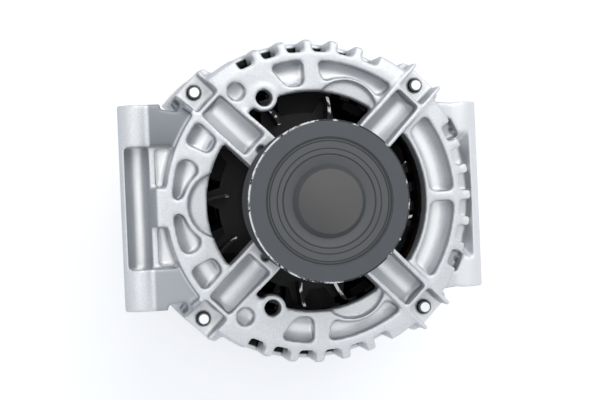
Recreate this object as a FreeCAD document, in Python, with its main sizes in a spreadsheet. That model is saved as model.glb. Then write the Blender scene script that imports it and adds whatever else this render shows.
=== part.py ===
import FreeCAD, Part
import math
import os
import Sketcher

# An air-cooled car alternator with claw-pole rotor, two inner fans, long bored mounting lugs
# and an overrunning ribbed pulley. Millimetres. The shaft axis is +Z towards the pulley, and
# z = 0 is the flat end of the rear cover, on which the alternator can stand.

os.makedirs("parts", exist_ok=True)
doc = FreeCAD.newDocument("Alternator")

# Driving dimensions, all of them lengths in millimetres except those that end in _angle
# (degrees) or _count.
sizes = {
    # Stack along the shaft
    "cover_depth": 30.0,
    "rear_bracket_depth": 32.0,
    "stator_stack": 34.0,
    "front_bracket_depth": 31.0,
    "rotor_length": 50.0,
    "pulley_width": 29.0,
    "pulley_gap": 3.0,
    # Stator and rotor
    "stator_radius": 63.0,
    "stator_bore": 46.6,
    "air_gap": 0.4,
    "slot_depth": 10.5,
    "slot_width": 4.2,
    "slot_count": 36.0,
    "slot_liner": 0.3,
    "winding_overhang": 13.5,
    "winding_width": 9.0,
    "pole_pair_count": 6.0,
    "pole_plate": 12.0,
    "pole_core_radius": 24.0,
    "finger_root_width": 22.0,
    "finger_tip_width": 8.5,
    "finger_root_depth": 10.2,
    "finger_tip_depth": 3.7,
    "finger_short": 3.0,
    "coil_radius": 35.0,
    "bobbin_wall": 1.8,
    # Shaft
    "journal_radius": 8.5,
    "shaft_core_radius": 9.0,
    "thread_radius": 8.0,
    "shaft_tail_radius": 5.0,
    "shaft_end_inset": 3.5,
    "key_socket_radius": 4.0,
    "key_socket_depth": 9.0,
    # Fans
    "fan_sheet": 1.2,
    "front_blade_height": 10.6,
    "rear_blade_height": 9.5,
    "blade_inner_radius": 34.3,
    "blade_outer_radius": 44.0,
    "blade_sweep_angle": 5.5,
    "blade_bend_radius": 22.0,
    # Front bearing
    "front_bearing_radius": 23.5,
    "front_bearing_width": 14.0,
    "rear_bearing_radius": 17.5,
    "rear_bearing_width": 10.0,
    "race_wall": 3.6,
    "ball_clearance": 0.05,
    "front_ball_count": 8.0,
    "rear_ball_count": 8.0,
    "rear_sleeve_wall": 1.2,
    "retainer_thickness": 2.5,
    "retainer_screw_circle": 30.4,
    "retainer_screw_radius": 1.9,
    "retainer_head_radius": 3.0,
    "retainer_head_height": 1.8,
    "retainer_boss_radius": 3.6,
    "retainer_reach": 33.6,
    # Drive-end bracket
    "wall_radius": 67.0,
    "wall_thickness": 5.6,
    "spigot_depth": 4.0,
    "rim_height": 4.0,
    "ring_thickness": 9.0,
    "ring_radius": 61.0,
    "hub_radius": 27.5,
    "hub_rise": 4.0,
    "hub_lip": 7.0,
    "hub_opening": 14.5,
    "spoke_root_radius": 34.0,
    "spoke_hub_width": 15.6,
    "spoke_wall": 1.7,
    "spoke_floor": 2.6,
    "spoke_plateau": 36.0,
    "left_spoke_drop": 7.5,
    "right_spoke_drop": 0.5,
    "trough_end_radius": 57.8,
    "trough_step": 1.7,
    "right_window_radius": 46.8,
    "side_window_radius": 44.0,
    "top_window_radius": 45.3,
    "shelf_radius": 13.6,
    "shelf_circle": 38.2,
    "shelf_angle": 68.3,
    "shelf_drop": 3.0,
    "shelf_band": 3.2,
    "pocket_depth": 5.5,
    "pocket_inner_radius": 49.3,
    "pocket_outer_radius": 58.2,
    "accessory_hole_radius": 3.4,
    "accessory_boss_radius": 5.5,
    "accessory_circle": 47.0,
    "accessory_angle": 114.0,
    "thumb_radius": 3.8,
    "pocket_corner": 2.2,
    "fin_pitch_angle": 9.7,
    "fin_count": 5.0,
    "fin_slot_root": 6.4,
    "fin_slot_mouth": 8.8,
    "outlet_inner_radius": 57.0,
    # Through bolts
    "bolt_circle": 66.0,
    "bolt_radius": 2.5,
    "bolt_hole_clearance": 0.25,
    "bolt_head_radius": 4.3,
    "bolt_head_height": 5.0,
    "bolt_stick_out": 3.0,
    "bolt_pad_drop": 12.0,
    "bolt_pad_floor": 3.0,
    "lobe_radius": 70.9,
    "lobe_half_angle": 8.2,
    "rear_lobe_height": 26.0,
    # Mounting lugs
    "left_lug_offset": 71.8,
    "left_lug_radius": 6.9,
    "left_lug_length": 84.0,
    "left_lug_drop": 2.2,
    "left_lug_face": 2.0,
    "left_lug_bore": 4.5,
    "left_boss_width": 17.2,
    "left_web_drop": 3.4,
    "left_ledge_drop": 5.9,
    "left_well_drop": 10.4,
    "left_ear_inner": 24.8,
    "left_plateau_half": 7.8,
    "left_plateau_slope": 2.8,
    "left_trough_gap": 0.5,
    "left_trough_flank_angle": 20.0,
    "left_ledge_width": 3.0,
    "right_lug_offset": 67.4,
    "right_lug_radius": 7.6,
    "right_lug_length": 79.0,
    "right_lug_level": 8.5,
    "right_lug_bore": 4.25,
    "right_ear_inner": 26.5,
    "right_hole_depth": 13.0,
    "right_web": 4.0,
    "right_web_height": 9.6,
    "right_lip": 4.0,
    "right_slope_angle": 39.0,
    # Slip-ring-end bracket
    "rear_end_wall": 4.5,
    "rear_shoulder": 11.0,
    "rear_boss_wall": 4.0,
    "rear_boss_lip": 2.0,
    "rear_vent_outer": 44.0,
    "rear_vent_angle": 27.0,
    "rear_slot_width": 6.6,
    "rear_slot_height": 14.0,
    "rear_slot_pitch_angle": 11.5,
    # Slip rings and brushes
    "slip_ring_radius": 7.6,
    "slip_ring_wall": 1.2,
    "slip_ring_width": 6.0,
    "slip_ring_pitch": 9.0,
    "slip_ring_first": 8.5,
    "brush_width": 4.6,
    "brush_height": 5.4,
    "brush_length": 16.0,
    "brush_rest_gap": 0.3,
    "brush_play": 0.3,
    "brush_travel": 8.0,
    "spring_radius": 1.9,
    "spring_wire": 0.7,
    "spring_turns": 5.0,
    "holder_wall": 2.2,
    "holder_mouth": 9.6,
    "spring_solid": 4.5,
    "regulator_half_width": 22.0,
    "regulator_inner": 24.5,
    "regulator_reach": 42.0,
    "regulator_flange": 6.0,
    "regulator_chip_height": 12.0,
    "regulator_screw_offset": 12.6,
    "regulator_screw_reach": 30.5,
    "regulator_body_start": 34.5,
    "socket_width": 19.0,
    "socket_height": 12.5,
    "socket_reach": 14.0,
    "socket_mouth": 56.0,
    "pin_pitch": 4.2,
    "socket_wall": 1.6,
    "pin_width": 2.4,
    "pin_thickness": 0.8,
    # Rectifier
    "plate_inner": 27.5,
    "plate_outer": 42.3,
    "plate_start_angle": 192.0,
    "plate_sweep_angle": 159.0,
    "plate_thickness": 3.0,
    "diode_radius": 5.0,
    "diode_height": 7.0,
    "diode_circle": 35.4,
    "diode_fit": 0.05,
    "stud_radius": 4.0,
    "stud_thread_radius": 3.6,
    "stud_fit": 0.05,
    "stud_circle": 35.0,
    "stud_inset": 1.5,
    "stud_nut_width": 13.0,
    "stud_nut_height": 5.0,
    "stud_angle": 147.0,
    "first_diode_angle": 20.0,
    "diode_pitch_angle": 18.5,
    "insulator_thickness": 4.0,
    "small_screw_radius": 2.0,
    "small_head_radius": 3.5,
    "small_head_height": 2.6,
    # Rear cover
    "cover_radius": 58.0,
    "cover_taper": 4.0,
    "cover_wall": 2.2,
    "cover_edge": 6.0,
    "cover_vent_count": 24.0,
    "cover_vent_width": 3.0,
    "cover_vent_inner": 20.0,
    "cover_vent_outer": 42.0,
    "cover_screw_circle": 47.5,
    "cover_screw_recess": 4.5,
    "cover_post_radius": 4.6,
    # Pulley
    "pulley_radius": 32.0,
    "rear_flange_radius": 31.0,
    "rib_radius": 29.6,
    "rib_depth": 3.0,
    "rib_pitch": 3.56,
    "rib_count": 6.0,
    "flange_width": 2.4,
    "rim_bore": 17.3,
    "cap_radius": 25.2,
    "cap_depth": 3.2,
    "cap_dome_radius": 12.6,
    "cap_dome_flank": 1.9,
    "cap_dome_rise": 3.0,
    "cap_dome_sag": 0.5,
    "hub_sleeve_radius": 13.5,
    "hub_nose_radius": 12.0,
    "roller_clearance": 0.1,
    "clutch_roller_count": 14.0,
    "clutch_roller_length": 9.0,
    "support_roller_length": 4.0,
}

sheet = doc.addObject("Spreadsheet::Sheet", "Sizes")
for row, (word, number) in enumerate(sizes.items(), start=1):
    sheet.set(f"A{row}", word)
    sheet.set(f"B{row}", str(number))
    sheet.setAlias(f"B{row}", word)
doc.recompute()


class Size:
    """A size with its value now and the expression over the sheet that gives it."""

    def __init__(self, value, text):
        self.value = float(value)
        self.text = text

    def joined(self, other, sign, value):
        return Size(value, f"({self.text} {sign} {as_size(other).text})")

    def __add__(self, other):
        return self.joined(other, "+", self.value + as_size(other).value)

    def __sub__(self, other):
        return self.joined(other, "-", self.value - as_size(other).value)

    def __mul__(self, other):
        return self.joined(other, "*", self.value * as_size(other).value)

    def __truediv__(self, other):
        return self.joined(other, "/", self.value / as_size(other).value)

    def __radd__(self, other):
        return as_size(other) + self

    def __rsub__(self, other):
        return as_size(other) - self

    def __rmul__(self, other):
        return as_size(other) * self

    def __rtruediv__(self, other):
        return as_size(other) / self

    def __neg__(self):
        return Size(-self.value, f"(0 - {self.text})")


def as_size(number):
    if isinstance(number, Size):
        return number
    return Size(number, repr(float(number)))


def cosine(angle):
    angle = as_size(angle)
    return Size(math.cos(math.radians(angle.value)), f"cos({angle.text})")


def sine(angle):
    angle = as_size(angle)
    return Size(math.sin(math.radians(angle.value)), f"sin({angle.text})")


class Sheet:
    """Reads a driving dimension by its name."""

    def __getattr__(self, word):
        return Size(float(sheet.get(word)), f"Sizes.{word}")


d = Sheet()

# Levels along the shaft
stator_back = d.cover_depth + d.rear_bracket_depth
stator_front = stator_back + d.stator_stack
ring_face = stator_front + d.front_bracket_depth
ring_back = ring_face - d.ring_thickness
hub_face = ring_face + d.hub_rise
bearing_front = hub_face - d.hub_lip
bearing_back = bearing_front - d.front_bearing_width
pulley_back = hub_face + d.pulley_gap
pulley_front = pulley_back + d.pulley_width
bolt_pad = ring_face - d.bolt_pad_drop
rotor_back = stator_back + (d.stator_stack - d.rotor_length) / 2
rotor_front = rotor_back + d.rotor_length
rotor_middle = rotor_back + d.rotor_length / 2
rotor_radius = d.stator_bore - d.air_gap
wall_inner = d.wall_radius - d.wall_thickness
end_wall_inner = d.cover_depth + d.rear_end_wall
rear_bearing_front = end_wall_inner
rear_bearing_back = rear_bearing_front - d.rear_bearing_width

spoke_angles = (45, 135, 225, 315)
pieces = []


def bind(thing, path, size):
    """Sets a property and ties it to the sheet."""
    thing.setExpression(path, as_size(size).text)


def body_called(label):
    body = doc.addObject("PartDesign::Body", label)
    body.Label = label
    pieces.append(body)
    return body


def origin_part(body, role):
    return next(part for part in body.Origin.OriginFeatures if part.Role == role)


def sketch_on(body, plane, lift=0, turn=0):
    """A sketch on one of the body's own planes, lifted along its normal and turned about Z."""
    sketch = body.newObject("Sketcher::SketchObject", "Sketch")
    sketch.AttachmentSupport = [(origin_part(body, plane), "")]
    sketch.MapMode = "FlatFace"
    spin = FreeCAD.Vector(0, 0, 1) if plane == "XY_Plane" else FreeCAD.Vector(0, 1, 0)
    angle = as_size(turn)
    up = as_size(lift)
    sketch.AttachmentOffset = FreeCAD.Placement(
        FreeCAD.Vector(0, 0, up.value), FreeCAD.Rotation(spin, angle.value))
    if isinstance(turn, Size):
        bind(sketch, "AttachmentOffset.Rotation.Angle", turn)
    if isinstance(lift, Size):
        bind(sketch, "AttachmentOffset.Base.z", lift)
    return sketch


def polar(radius, angle):
    radius = as_size(radius)
    return radius * cosine(angle), radius * sine(angle)


def about(centre, radius, angle):
    x, y = polar(radius, angle)
    return centre[0] + x, centre[1] + y


def rounded(corners, out, dent, back):
    """Cuts every corner of an outline back along its two edges and closes it with an arc."""
    fresh = []
    bulges = {}
    dents = {}
    for number, corner in enumerate(corners):
        sides = corners[number - 1], corners[(number + 1) % len(corners)]
        ways = [FreeCAD.Vector(side[0].value - corner[0].value, side[1].value - corner[1].value, 0)
                for side in sides]
        for side, way in zip(sides, ways):
            share = min(back / way.Length, 0.45)
            fresh.append(tuple(here + (there - here) * share
                               for here, there in zip(corner, side)))
        slack = 1.15
        bulges[2 * number] = slack * back * math.tan(ways[0].getAngle(ways[1]) / 2)
        if number in out:
            bulges[2 * number + 1] = out[number]
        if number in dent:
            dents[2 * number + 1] = dent[number]
    return fresh, bulges, dents


def draw(sketch, corners, out=None, dent=None, flip=False, soft=0):
    """A closed outline, walked anticlockwise. out and dent give the radius of each edge that
    bulges out of it or into it, by the number of the edge's first corner. flip mirrors it
    in the X axis, and soft rounds its corners off."""
    out = out or {}
    dent = dent or {}
    corners = [(as_size(x), as_size(y)) for x, y in corners]
    if flip:
        count = len(corners)
        corners = [(x, -y) for x, y in reversed(corners)]
        out = {(count - 2 - edge) % count: radius for edge, radius in out.items()}
        dent = {(count - 2 - edge) % count: radius for edge, radius in dent.items()}
    if soft:
        corners, out, dent = rounded(corners, out, dent, soft)
    first = sketch.GeometryCount
    ends = []
    for number, start in enumerate(corners):
        stop = corners[(number + 1) % len(corners)]
        tail = FreeCAD.Vector(start[0].value, start[1].value, 0)
        head = FreeCAD.Vector(stop[0].value, stop[1].value, 0)
        if number not in out and number not in dent:
            sketch.addGeometry(Part.LineSegment(tail, head))
            ends.append((1, 2))
            continue
        radius = as_size(out.get(number, dent.get(number))).value
        chord = head - tail
        rise = math.sqrt(max(radius ** 2 - chord.Length ** 2 / 4, 0))
        left = FreeCAD.Vector(-chord.y, chord.x, 0).normalize()
        side = 1 if number in out else -1
        centre = (tail + head) / 2 + left * rise * side
        begin, end = (tail, head) if side == 1 else (head, tail)
        circle = Part.Circle(centre, FreeCAD.Vector(0, 0, 1), radius)
        sketch.addGeometry(Part.ArcOfCircle(
            circle, math.atan2(begin.y - centre.y, begin.x - centre.x),
            math.atan2(end.y - centre.y, end.x - centre.x)))
        ends.append((1, 2) if side == 1 else (2, 1))
    for number, (x, y) in enumerate(corners):
        edge = first + number
        following = (number + 1) % len(corners)
        sketch.addConstraint(Sketcher.Constraint(
            "Coincident", edge, ends[number][1], first + following, ends[following][0]))
        tie(sketch, Sketcher.Constraint("DistanceX", edge, ends[number][0], x.value), x)
        tie(sketch, Sketcher.Constraint("DistanceY", edge, ends[number][0], y.value), y)
    for number, radius in {**out, **dent}.items():
        radius = as_size(radius)
        tie(sketch, Sketcher.Constraint("Radius", first + number, radius.value), radius)


def tie(sketch, constraint, size):
    place = sketch.addConstraint(constraint)
    if "Sizes" in size.text:
        sketch.setExpression(f"Constraints[{place}]", size.text)


def circle(sketch, centre, radius):
    x, y = as_size(centre[0]), as_size(centre[1])
    radius = as_size(radius)
    place = FreeCAD.Vector(x.value, y.value, 0)
    edge = sketch.addGeometry(Part.Circle(place, FreeCAD.Vector(0, 0, 1), radius.value))
    tie(sketch, Sketcher.Constraint("DistanceX", edge, 3, x.value), x)
    tie(sketch, Sketcher.Constraint("DistanceY", edge, 3, y.value), y)
    tie(sketch, Sketcher.Constraint("Radius", edge, radius.value), radius)


def pad(body, sketch, length, both_ways=False):
    feature = body.newObject("PartDesign::Pad", "Pad")
    feature.Profile = sketch
    feature.SideType = "Symmetric" if both_ways else "One side"
    feature.Length = as_size(length).value
    bind(feature, "Length", length)
    return feature


def pocket(body, sketch, length, both_ways=False, upward=False):
    """Cuts against the sketch's normal, or along it when upward is set."""
    feature = body.newObject("PartDesign::Pocket", "Pocket")
    feature.Profile = sketch
    feature.SideType = "Symmetric" if both_ways else "One side"
    feature.Reversed = upward
    feature.Length = as_size(length).value
    bind(feature, "Length", length)
    return feature


def revolve(body, *outlines, out=None, dent=None, groove=False):
    """Turns outlines of radius and height about the shaft axis."""
    sketch = sketch_on(body, "XZ_Plane")
    for corners in outlines:
        draw(sketch, corners, out, dent)
    feature = body.newObject("PartDesign::Groove" if groove else "PartDesign::Revolution", "Turned")
    feature.Profile = sketch
    feature.ReferenceAxis = (sketch, ["V_Axis"])
    feature.Angle = 360
    return feature


def around(body, features, count, angle=360):
    """Repeats features about the shaft axis."""
    pattern = body.newObject("PartDesign::PolarPattern", "Around")
    pattern.Originals = features
    pattern.Axis = (origin_part(body, "Z_Axis"), [""])
    pattern.Angle = angle
    pattern.Occurrences = round(as_size(count).value)
    if isinstance(count, Size):
        bind(pattern, "Occurrences", count)
    body.Tip = pattern
    return pattern


def ring(label, inner, outer, low, high):
    """A plain turned ring."""
    body = body_called(label)
    revolve(body, [(inner, low), (outer, low), (outer, high), (inner, high)])
    return body


def sector(sketch, inner, outer, start, stop):
    """A piece of a flat ring between two angles."""
    draw(sketch, [polar(inner, start), polar(outer, start), polar(outer, stop), polar(inner, stop)],
         out={1: outer}, dent={3: inner})


def block(sketch, left, right, low, high):
    draw(sketch, [(left, low), (right, low), (right, high), (left, high)])


def taper(sketch, near, near_half, far, far_half, turn=0):
    """A four-sided outline that widens or narrows along a radius at the given angle."""
    along = cosine(turn), sine(turn)
    points = [(near, -near_half), (far, -far_half), (far, far_half), (near, near_half)]
    draw(sketch, [(r * along[0] - w * along[1], r * along[1] + w * along[0]) for r, w in points])


def hexagon(sketch, centre, across_flats, turn=0):
    corner = across_flats / 2 / cosine(30)
    draw(sketch, [about(centre, corner, turn + 60 * side) for side in range(6)])


def cylinder(radius, length, x, y, z):
    """A plain upright cylinder for a group of like pieces."""
    shape = doc.addObject("Part::Cylinder", "Cylinder")
    shape.Radius = as_size(radius).value
    shape.Height = as_size(length).value
    bind(shape, "Radius", radius)
    bind(shape, "Height", length)
    place(shape, x, y, z)
    return shape


def place(shape, x, y, z):
    for axis, size in zip("xyz", (x, y, z)):
        bind(shape, f"Placement.Base.{axis}", size)


def group(label, members):
    """Like pieces that share one name but stay separate solids."""
    together = doc.addObject("Part::Compound", label)
    together.Label = label
    together.Links = members
    pieces.append(together)


def drive_end_bracket():
    """The aluminium casting at the pulley end: a bearing hub on four channel spokes, a
    pocketed ring, a finned wall with air slots, four bolt lobes and two long bored lugs."""
    body = body_called("drive_end_bracket")
    rim_top = stator_front + d.rim_height
    low = stator_front - d.spigot_depth
    above = ring_face + 1

    # Right lug: two ears low on the wall, each with a tapped hole, and a thin web between
    right_level = stator_front + d.right_lug_level
    right_low = right_level - d.right_lug_radius
    right_high = right_level + d.right_lug_radius
    right_web_top = right_low + d.right_web_height
    right_axis = (d.right_lug_offset, right_level)
    right_half = d.right_lug_length / 2
    web_inner = wall_inner + 1
    tube = sketch_on(body, "XZ_Plane")
    draw(tube, [about(right_axis, d.right_lug_radius, angle) for angle in (-120, 0, 120)],
         out={0: d.right_lug_radius, 1: d.right_lug_radius})
    pad(body, tube, d.right_lug_length, both_ways=True)
    slab = sketch_on(body, "XY_Plane", right_low + 0.3)
    flank = d.right_lug_offset + 1
    draw(slab, [polar(web_inner, -41), (flank, 1 - right_half), (flank, right_half - 1),
                polar(web_inner, 41)], dent={3: web_inner})
    pad(body, slab, 2 * d.right_lug_radius - 0.6)
    between = sketch_on(body, "XY_Plane", right_high)
    lip = d.right_lug_offset + d.right_lug_radius - d.right_lip
    taper(between, wall_inner - 16, d.right_ear_inner - 7, lip, d.right_ear_inner + 1.6)
    gap = pocket(body, between, right_high - right_web_top)
    bind(gap, "TaperAngle", -d.right_slope_angle)
    below = sketch_on(body, "XY_Plane", right_low - 1)
    block(below, wall_inner - 10, lip - 1, 5 - d.right_ear_inner, d.right_ear_inner - 5)
    pocket(body, below, d.right_web_height + 1 - d.right_web, upward=True)
    for side in (1, -1):
        hole = sketch_on(body, "XZ_Plane", side * (right_half + 1))
        circle(hole, right_axis, d.right_lug_bore)
        pocket(body, hole, d.right_hole_depth + 1, upward=side == -1)

    # Left lug: a long boss for a bolt and a web that is sunk below the ring's face
    left_level = ring_face - d.left_lug_drop - d.left_lug_radius
    left_low = left_level - d.left_lug_radius
    left_axis = (-d.left_lug_offset, left_level)
    left_half = d.left_lug_length / 2
    left_web_top = ring_face - d.left_web_drop
    tube = sketch_on(body, "XZ_Plane")
    circle(tube, left_axis, d.left_lug_radius)
    pad(body, tube, d.left_lug_length, both_ways=True)
    web = sketch_on(body, "XY_Plane", left_low + 0.3)
    boss_edge = d.left_boss_width - d.left_lug_offset - d.left_lug_radius
    end = left_half - d.left_lug_face
    web_inner = wall_inner + 2
    draw(web, [polar(web_inner, 143), (boss_edge, end), (boss_edge, left_half),
               (-d.left_lug_offset, left_half), (-d.left_lug_offset, -left_half),
               (boss_edge, -left_half), (boss_edge, -end), polar(web_inner, 217)],
         dent={7: web_inner})
    pad(body, web, left_web_top - left_low - 0.3)

    # The finned wall with the ring at its end, and the bearing hub with its lip
    ring_inner = d.spoke_root_radius + 2
    revolve(body, [
        (d.stator_radius, low), (d.wall_radius, low), (d.wall_radius, ring_back + 2),
        (d.wall_radius - 1, ring_face - 1), (d.ring_radius, ring_face),
        (ring_inner, ring_face), (ring_inner, ring_back),
        (wall_inner - 4, ring_back), (wall_inner, ring_back - 4), (wall_inner, stator_front),
        (d.stator_radius, stator_front)], [
        (d.front_bearing_radius, bearing_back), (d.hub_radius, bearing_back),
        (d.hub_radius, hub_face), (d.hub_opening, hub_face), (d.hub_opening, bearing_front),
        (d.front_bearing_radius, bearing_front)])

    # Lobes that carry the through bolts
    lobes = sketch_on(body, "XY_Plane", low)
    near = d.lobe_half_angle + 1.3
    for angle in spoke_angles:
        draw(lobes, [
            polar(d.stator_radius, angle - near), polar(d.wall_radius - 0.5, angle - near),
            polar(d.lobe_radius, angle - d.lobe_half_angle),
            polar(d.lobe_radius, angle + d.lobe_half_angle),
            polar(d.wall_radius - 0.5, angle + near), polar(d.stator_radius, angle + near)],
            out={2: d.lobe_radius}, dent={5: d.stator_radius})
    pad(body, lobes, bolt_pad - low)

    # Air windows through the ring, between the spokes
    windows = sketch_on(body, "XY_Plane", above)
    for middle, reach_out in ((0, d.right_window_radius), (180, d.side_window_radius),
                              (90, d.top_window_radius), (270, d.top_window_radius)):
        sector(windows, d.hub_radius + 2, reach_out, middle - 40, middle + 40)
    pocket(body, windows, d.ring_thickness + 2)

    # Bosses under the spokes for the bearing retainer's screws, and threaded accessory bosses
    studs = sketch_on(body, "XY_Plane", bearing_back)
    for angle in spoke_angles:
        circle(studs, polar(d.retainer_screw_circle, angle), d.retainer_boss_radius)
    pad(body, studs, ring_back + 2 - bearing_back)
    bosses = sketch_on(body, "XY_Plane", ring_back)
    for side in (1, -1):
        circle(bosses, polar(d.accessory_circle, side * d.accessory_angle), d.accessory_boss_radius)
    pad(body, bosses, d.ring_thickness + 0.5)

    # The ring's edge stands above the left lug's web, which steps down to a ledge between
    # the ears; a plateau joins ring and ledge in the middle
    apron = sketch_on(body, "XY_Plane", above)
    sector(apron, d.ring_radius, d.wall_radius + 0.2, 142.6, 217.4)
    pocket(body, apron, above - left_web_top)
    trough_radius = d.left_lug_bore + d.left_trough_gap
    trough_half = trough_radius * cosine(d.left_trough_flank_angle)
    trough_far = -d.left_lug_offset - trough_half
    trough_near = -d.left_lug_offset + trough_half
    ledge_top = ring_face - d.left_ledge_drop
    ledge_inner = d.ring_radius + 0.3
    ear = d.left_ear_inner
    ledge_end = -root_of(ledge_inner * ledge_inner - ear * ear)
    ledge = sketch_on(body, "XY_Plane", above)
    draw(ledge, [(ledge_end, ear), (trough_near - 0.5, ear), (trough_near - 0.5, -ear),
                 (ledge_end, -ear)], dent={3: ledge_inner})
    pocket(body, ledge, above - ledge_top)
    overlap = 0.6
    steepness = d.left_ledge_drop / d.left_plateau_slope
    plateau = sketch_on(body, "XZ_Plane")
    draw(plateau, [(trough_near - overlap, ledge_top - 2), (1.2 - d.ring_radius, ledge_top - 2),
                   (1.2 - d.ring_radius, ring_face),
                   (trough_near + d.left_plateau_slope, ring_face),
                   (trough_near - overlap, ledge_top - overlap * steepness)])
    pad(body, plateau, 2 * d.left_plateau_half, both_ways=True)

    # Flat shelves sunk in the ring, beside the top and bottom windows and at the left
    shelves = sketch_on(body, "XY_Plane", above)
    top_shelf = polar(d.shelf_circle, d.shelf_angle)
    left_shelf = (-d.shelf_circle, as_size(0))
    for centre in (top_shelf, (top_shelf[0], -top_shelf[1]), left_shelf):
        circle(shelves, centre, d.shelf_radius)
    pocket(body, shelves, d.shelf_drop + 1)

    # Casting pockets in the ring's face, mirrored about the X axis
    inner, outer = d.pocket_inner_radius, d.pocket_outer_radius
    band = d.shelf_radius + d.shelf_band
    hollows = sketch_on(body, "XY_Plane", above)
    soft = d.pocket_corner.value
    for flip in (False, True):
        draw(hollows, [polar(inner, 2.3), polar(outer + 1, 2), polar(outer + 1, 35.2),
                       polar(inner, 33.3)], out={1: outer + 1}, dent={3: inner}, flip=flip,
             soft=soft)
        draw(hollows, [polar(inner - 1.5, 92.4), polar(outer, 92.4), polar(outer, 106.5),
                       polar(inner - 1.5, 101)], out={1: outer}, flip=flip, soft=soft)
        draw(hollows, [polar(inner - 2.4, 145.3), polar(outer, 143.3), polar(outer, 153.8),
                       polar(inner - 2.2, 153.8)], out={1: outer}, flip=flip, soft=soft)
        draw(hollows, [polar(outer, 53.1), polar(outer, 86.5), about(top_shelf, band, 122),
                       about(top_shelf, band, 23)], out={0: outer}, dent={2: band}, flip=flip,
             soft=soft)
        draw(hollows, [polar(outer, 161), polar(outer, 177.2), about(left_shelf, band, 171),
                       about(left_shelf, band, 119), polar(inner + 4.2, 159)],
             out={0: outer}, dent={2: band}, flip=flip, soft=soft)
        side = -1 if flip else 1
        circle(hollows, polar(55, side * 123.5), d.thumb_radius)
    pocket(body, hollows, d.pocket_depth + 1)

    # Channel spokes: bars with sloping tops, a trough in each and a low seat at the bolt
    for plane_angle in (45, 135):
        bars = sketch_on(body, "XZ_Plane", 0, plane_angle)
        for side in (1, -1):
            right = (plane_angle == 45) == (side == 1)
            drop = d.right_spoke_drop if right else d.left_spoke_drop
            corners = [(d.hub_radius - 1, ring_back), (d.trough_end_radius, ring_back),
                       (d.trough_end_radius + d.trough_step, bolt_pad - d.bolt_pad_floor),
                       (d.lobe_radius, bolt_pad - d.bolt_pad_floor),
                       (d.lobe_radius, ring_face - drop), (d.spoke_plateau, hub_face),
                       (d.hub_radius - 1, hub_face)]
            if side == -1:
                corners = [(-x, z) for x, z in reversed(corners)]
            draw(bars, corners)
        pad(body, bars, d.spoke_hub_width, both_ways=True)
    top = hub_face + 1
    hub_half = d.spoke_hub_width / 2 - d.spoke_wall
    troughs = sketch_on(body, "XY_Plane", top)
    seats = sketch_on(body, "XY_Plane", top)
    for angle in spoke_angles:
        taper(troughs, d.spoke_root_radius, hub_half, d.trough_end_radius, hub_half - 0.5, angle)
        taper(seats, d.trough_end_radius + d.trough_step, hub_half, d.lobe_radius + 2, hub_half,
              angle)
    pocket(body, troughs, top - ring_back - d.spoke_floor)
    pocket(body, seats, top - bolt_pad)

    # Wells beside the left lug's plateau, the trough between its ears, and its bore
    wells = sketch_on(body, "XY_Plane", above)
    well_outer = d.ring_radius + 1.1
    well_left = trough_near + d.left_ledge_width
    for flip in (False, True):
        draw(wells, [polar(well_outer, 157.3), (well_left, ear - 0.9),
                     (well_left, d.left_plateau_half + 0.4), polar(well_outer, 172.2)],
             dent={3: well_outer}, flip=flip, soft=1.6)
    pocket(body, wells, above - ring_face + d.left_well_drop)
    trough = sketch_on(body, "XZ_Plane")
    draw(trough, [about(left_axis, trough_radius, 180 + d.left_trough_flank_angle),
                  about(left_axis, trough_radius, -d.left_trough_flank_angle),
                  (trough_near, above), (trough_far, above)], out={0: trough_radius})
    pocket(body, trough, 2 * ear, both_ways=True)
    bore = sketch_on(body, "XZ_Plane")
    circle(bore, left_axis, d.left_lug_bore)
    pocket(body, bore, d.left_lug_length + 10, both_ways=True)

    # Holes for the accessory bolts, the through bolts and the retainer's screws
    drilled = sketch_on(body, "XY_Plane", above)
    for side in (1, -1):
        circle(drilled, polar(d.accessory_circle, side * d.accessory_angle),
               d.accessory_hole_radius)
    pocket(body, drilled, d.ring_thickness + 2)
    holes = sketch_on(body, "XY_Plane", low - 1)
    for angle in spoke_angles:
        circle(holes, polar(d.bolt_circle, angle), d.bolt_radius + d.bolt_hole_clearance)
        circle(holes, polar(d.retainer_screw_circle, angle), d.retainer_screw_radius)
    pocket(body, holes, hub_face - low + 2, upward=True)

    # Air slots between the fins: full height at the top and bottom, above the right lug's
    # web and below the left lug's web
    root_half = d.fin_slot_root / 2
    mouth_half = d.fin_slot_mouth / 2
    mouth = d.wall_radius + 3
    over = sketch_on(body, "XY_Plane", ring_back - 0.5)
    for middles, slot_low, slot_high in (((90, 270), rim_top, ring_back),
                                         ((0,), right_web_top, ring_back),
                                         ((180,), rim_top, left_low - 1)):
        under = sketch_on(body, "XY_Plane", slot_low)
        for middle in middles:
            for step in range(round(d.fin_count.value) + 1):
                angle = middle + (step - d.fin_count / 2) * d.fin_pitch_angle
                taper(under, d.outlet_inner_radius, root_half, mouth, mouth_half, angle)
                if middle != 180:
                    taper(over, d.ring_radius + 0.4, root_half, mouth, mouth_half, angle)
        pocket(body, under, slot_high - slot_low, upward=True)
    pocket(body, over, d.ring_thickness + 2, upward=True)


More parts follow.
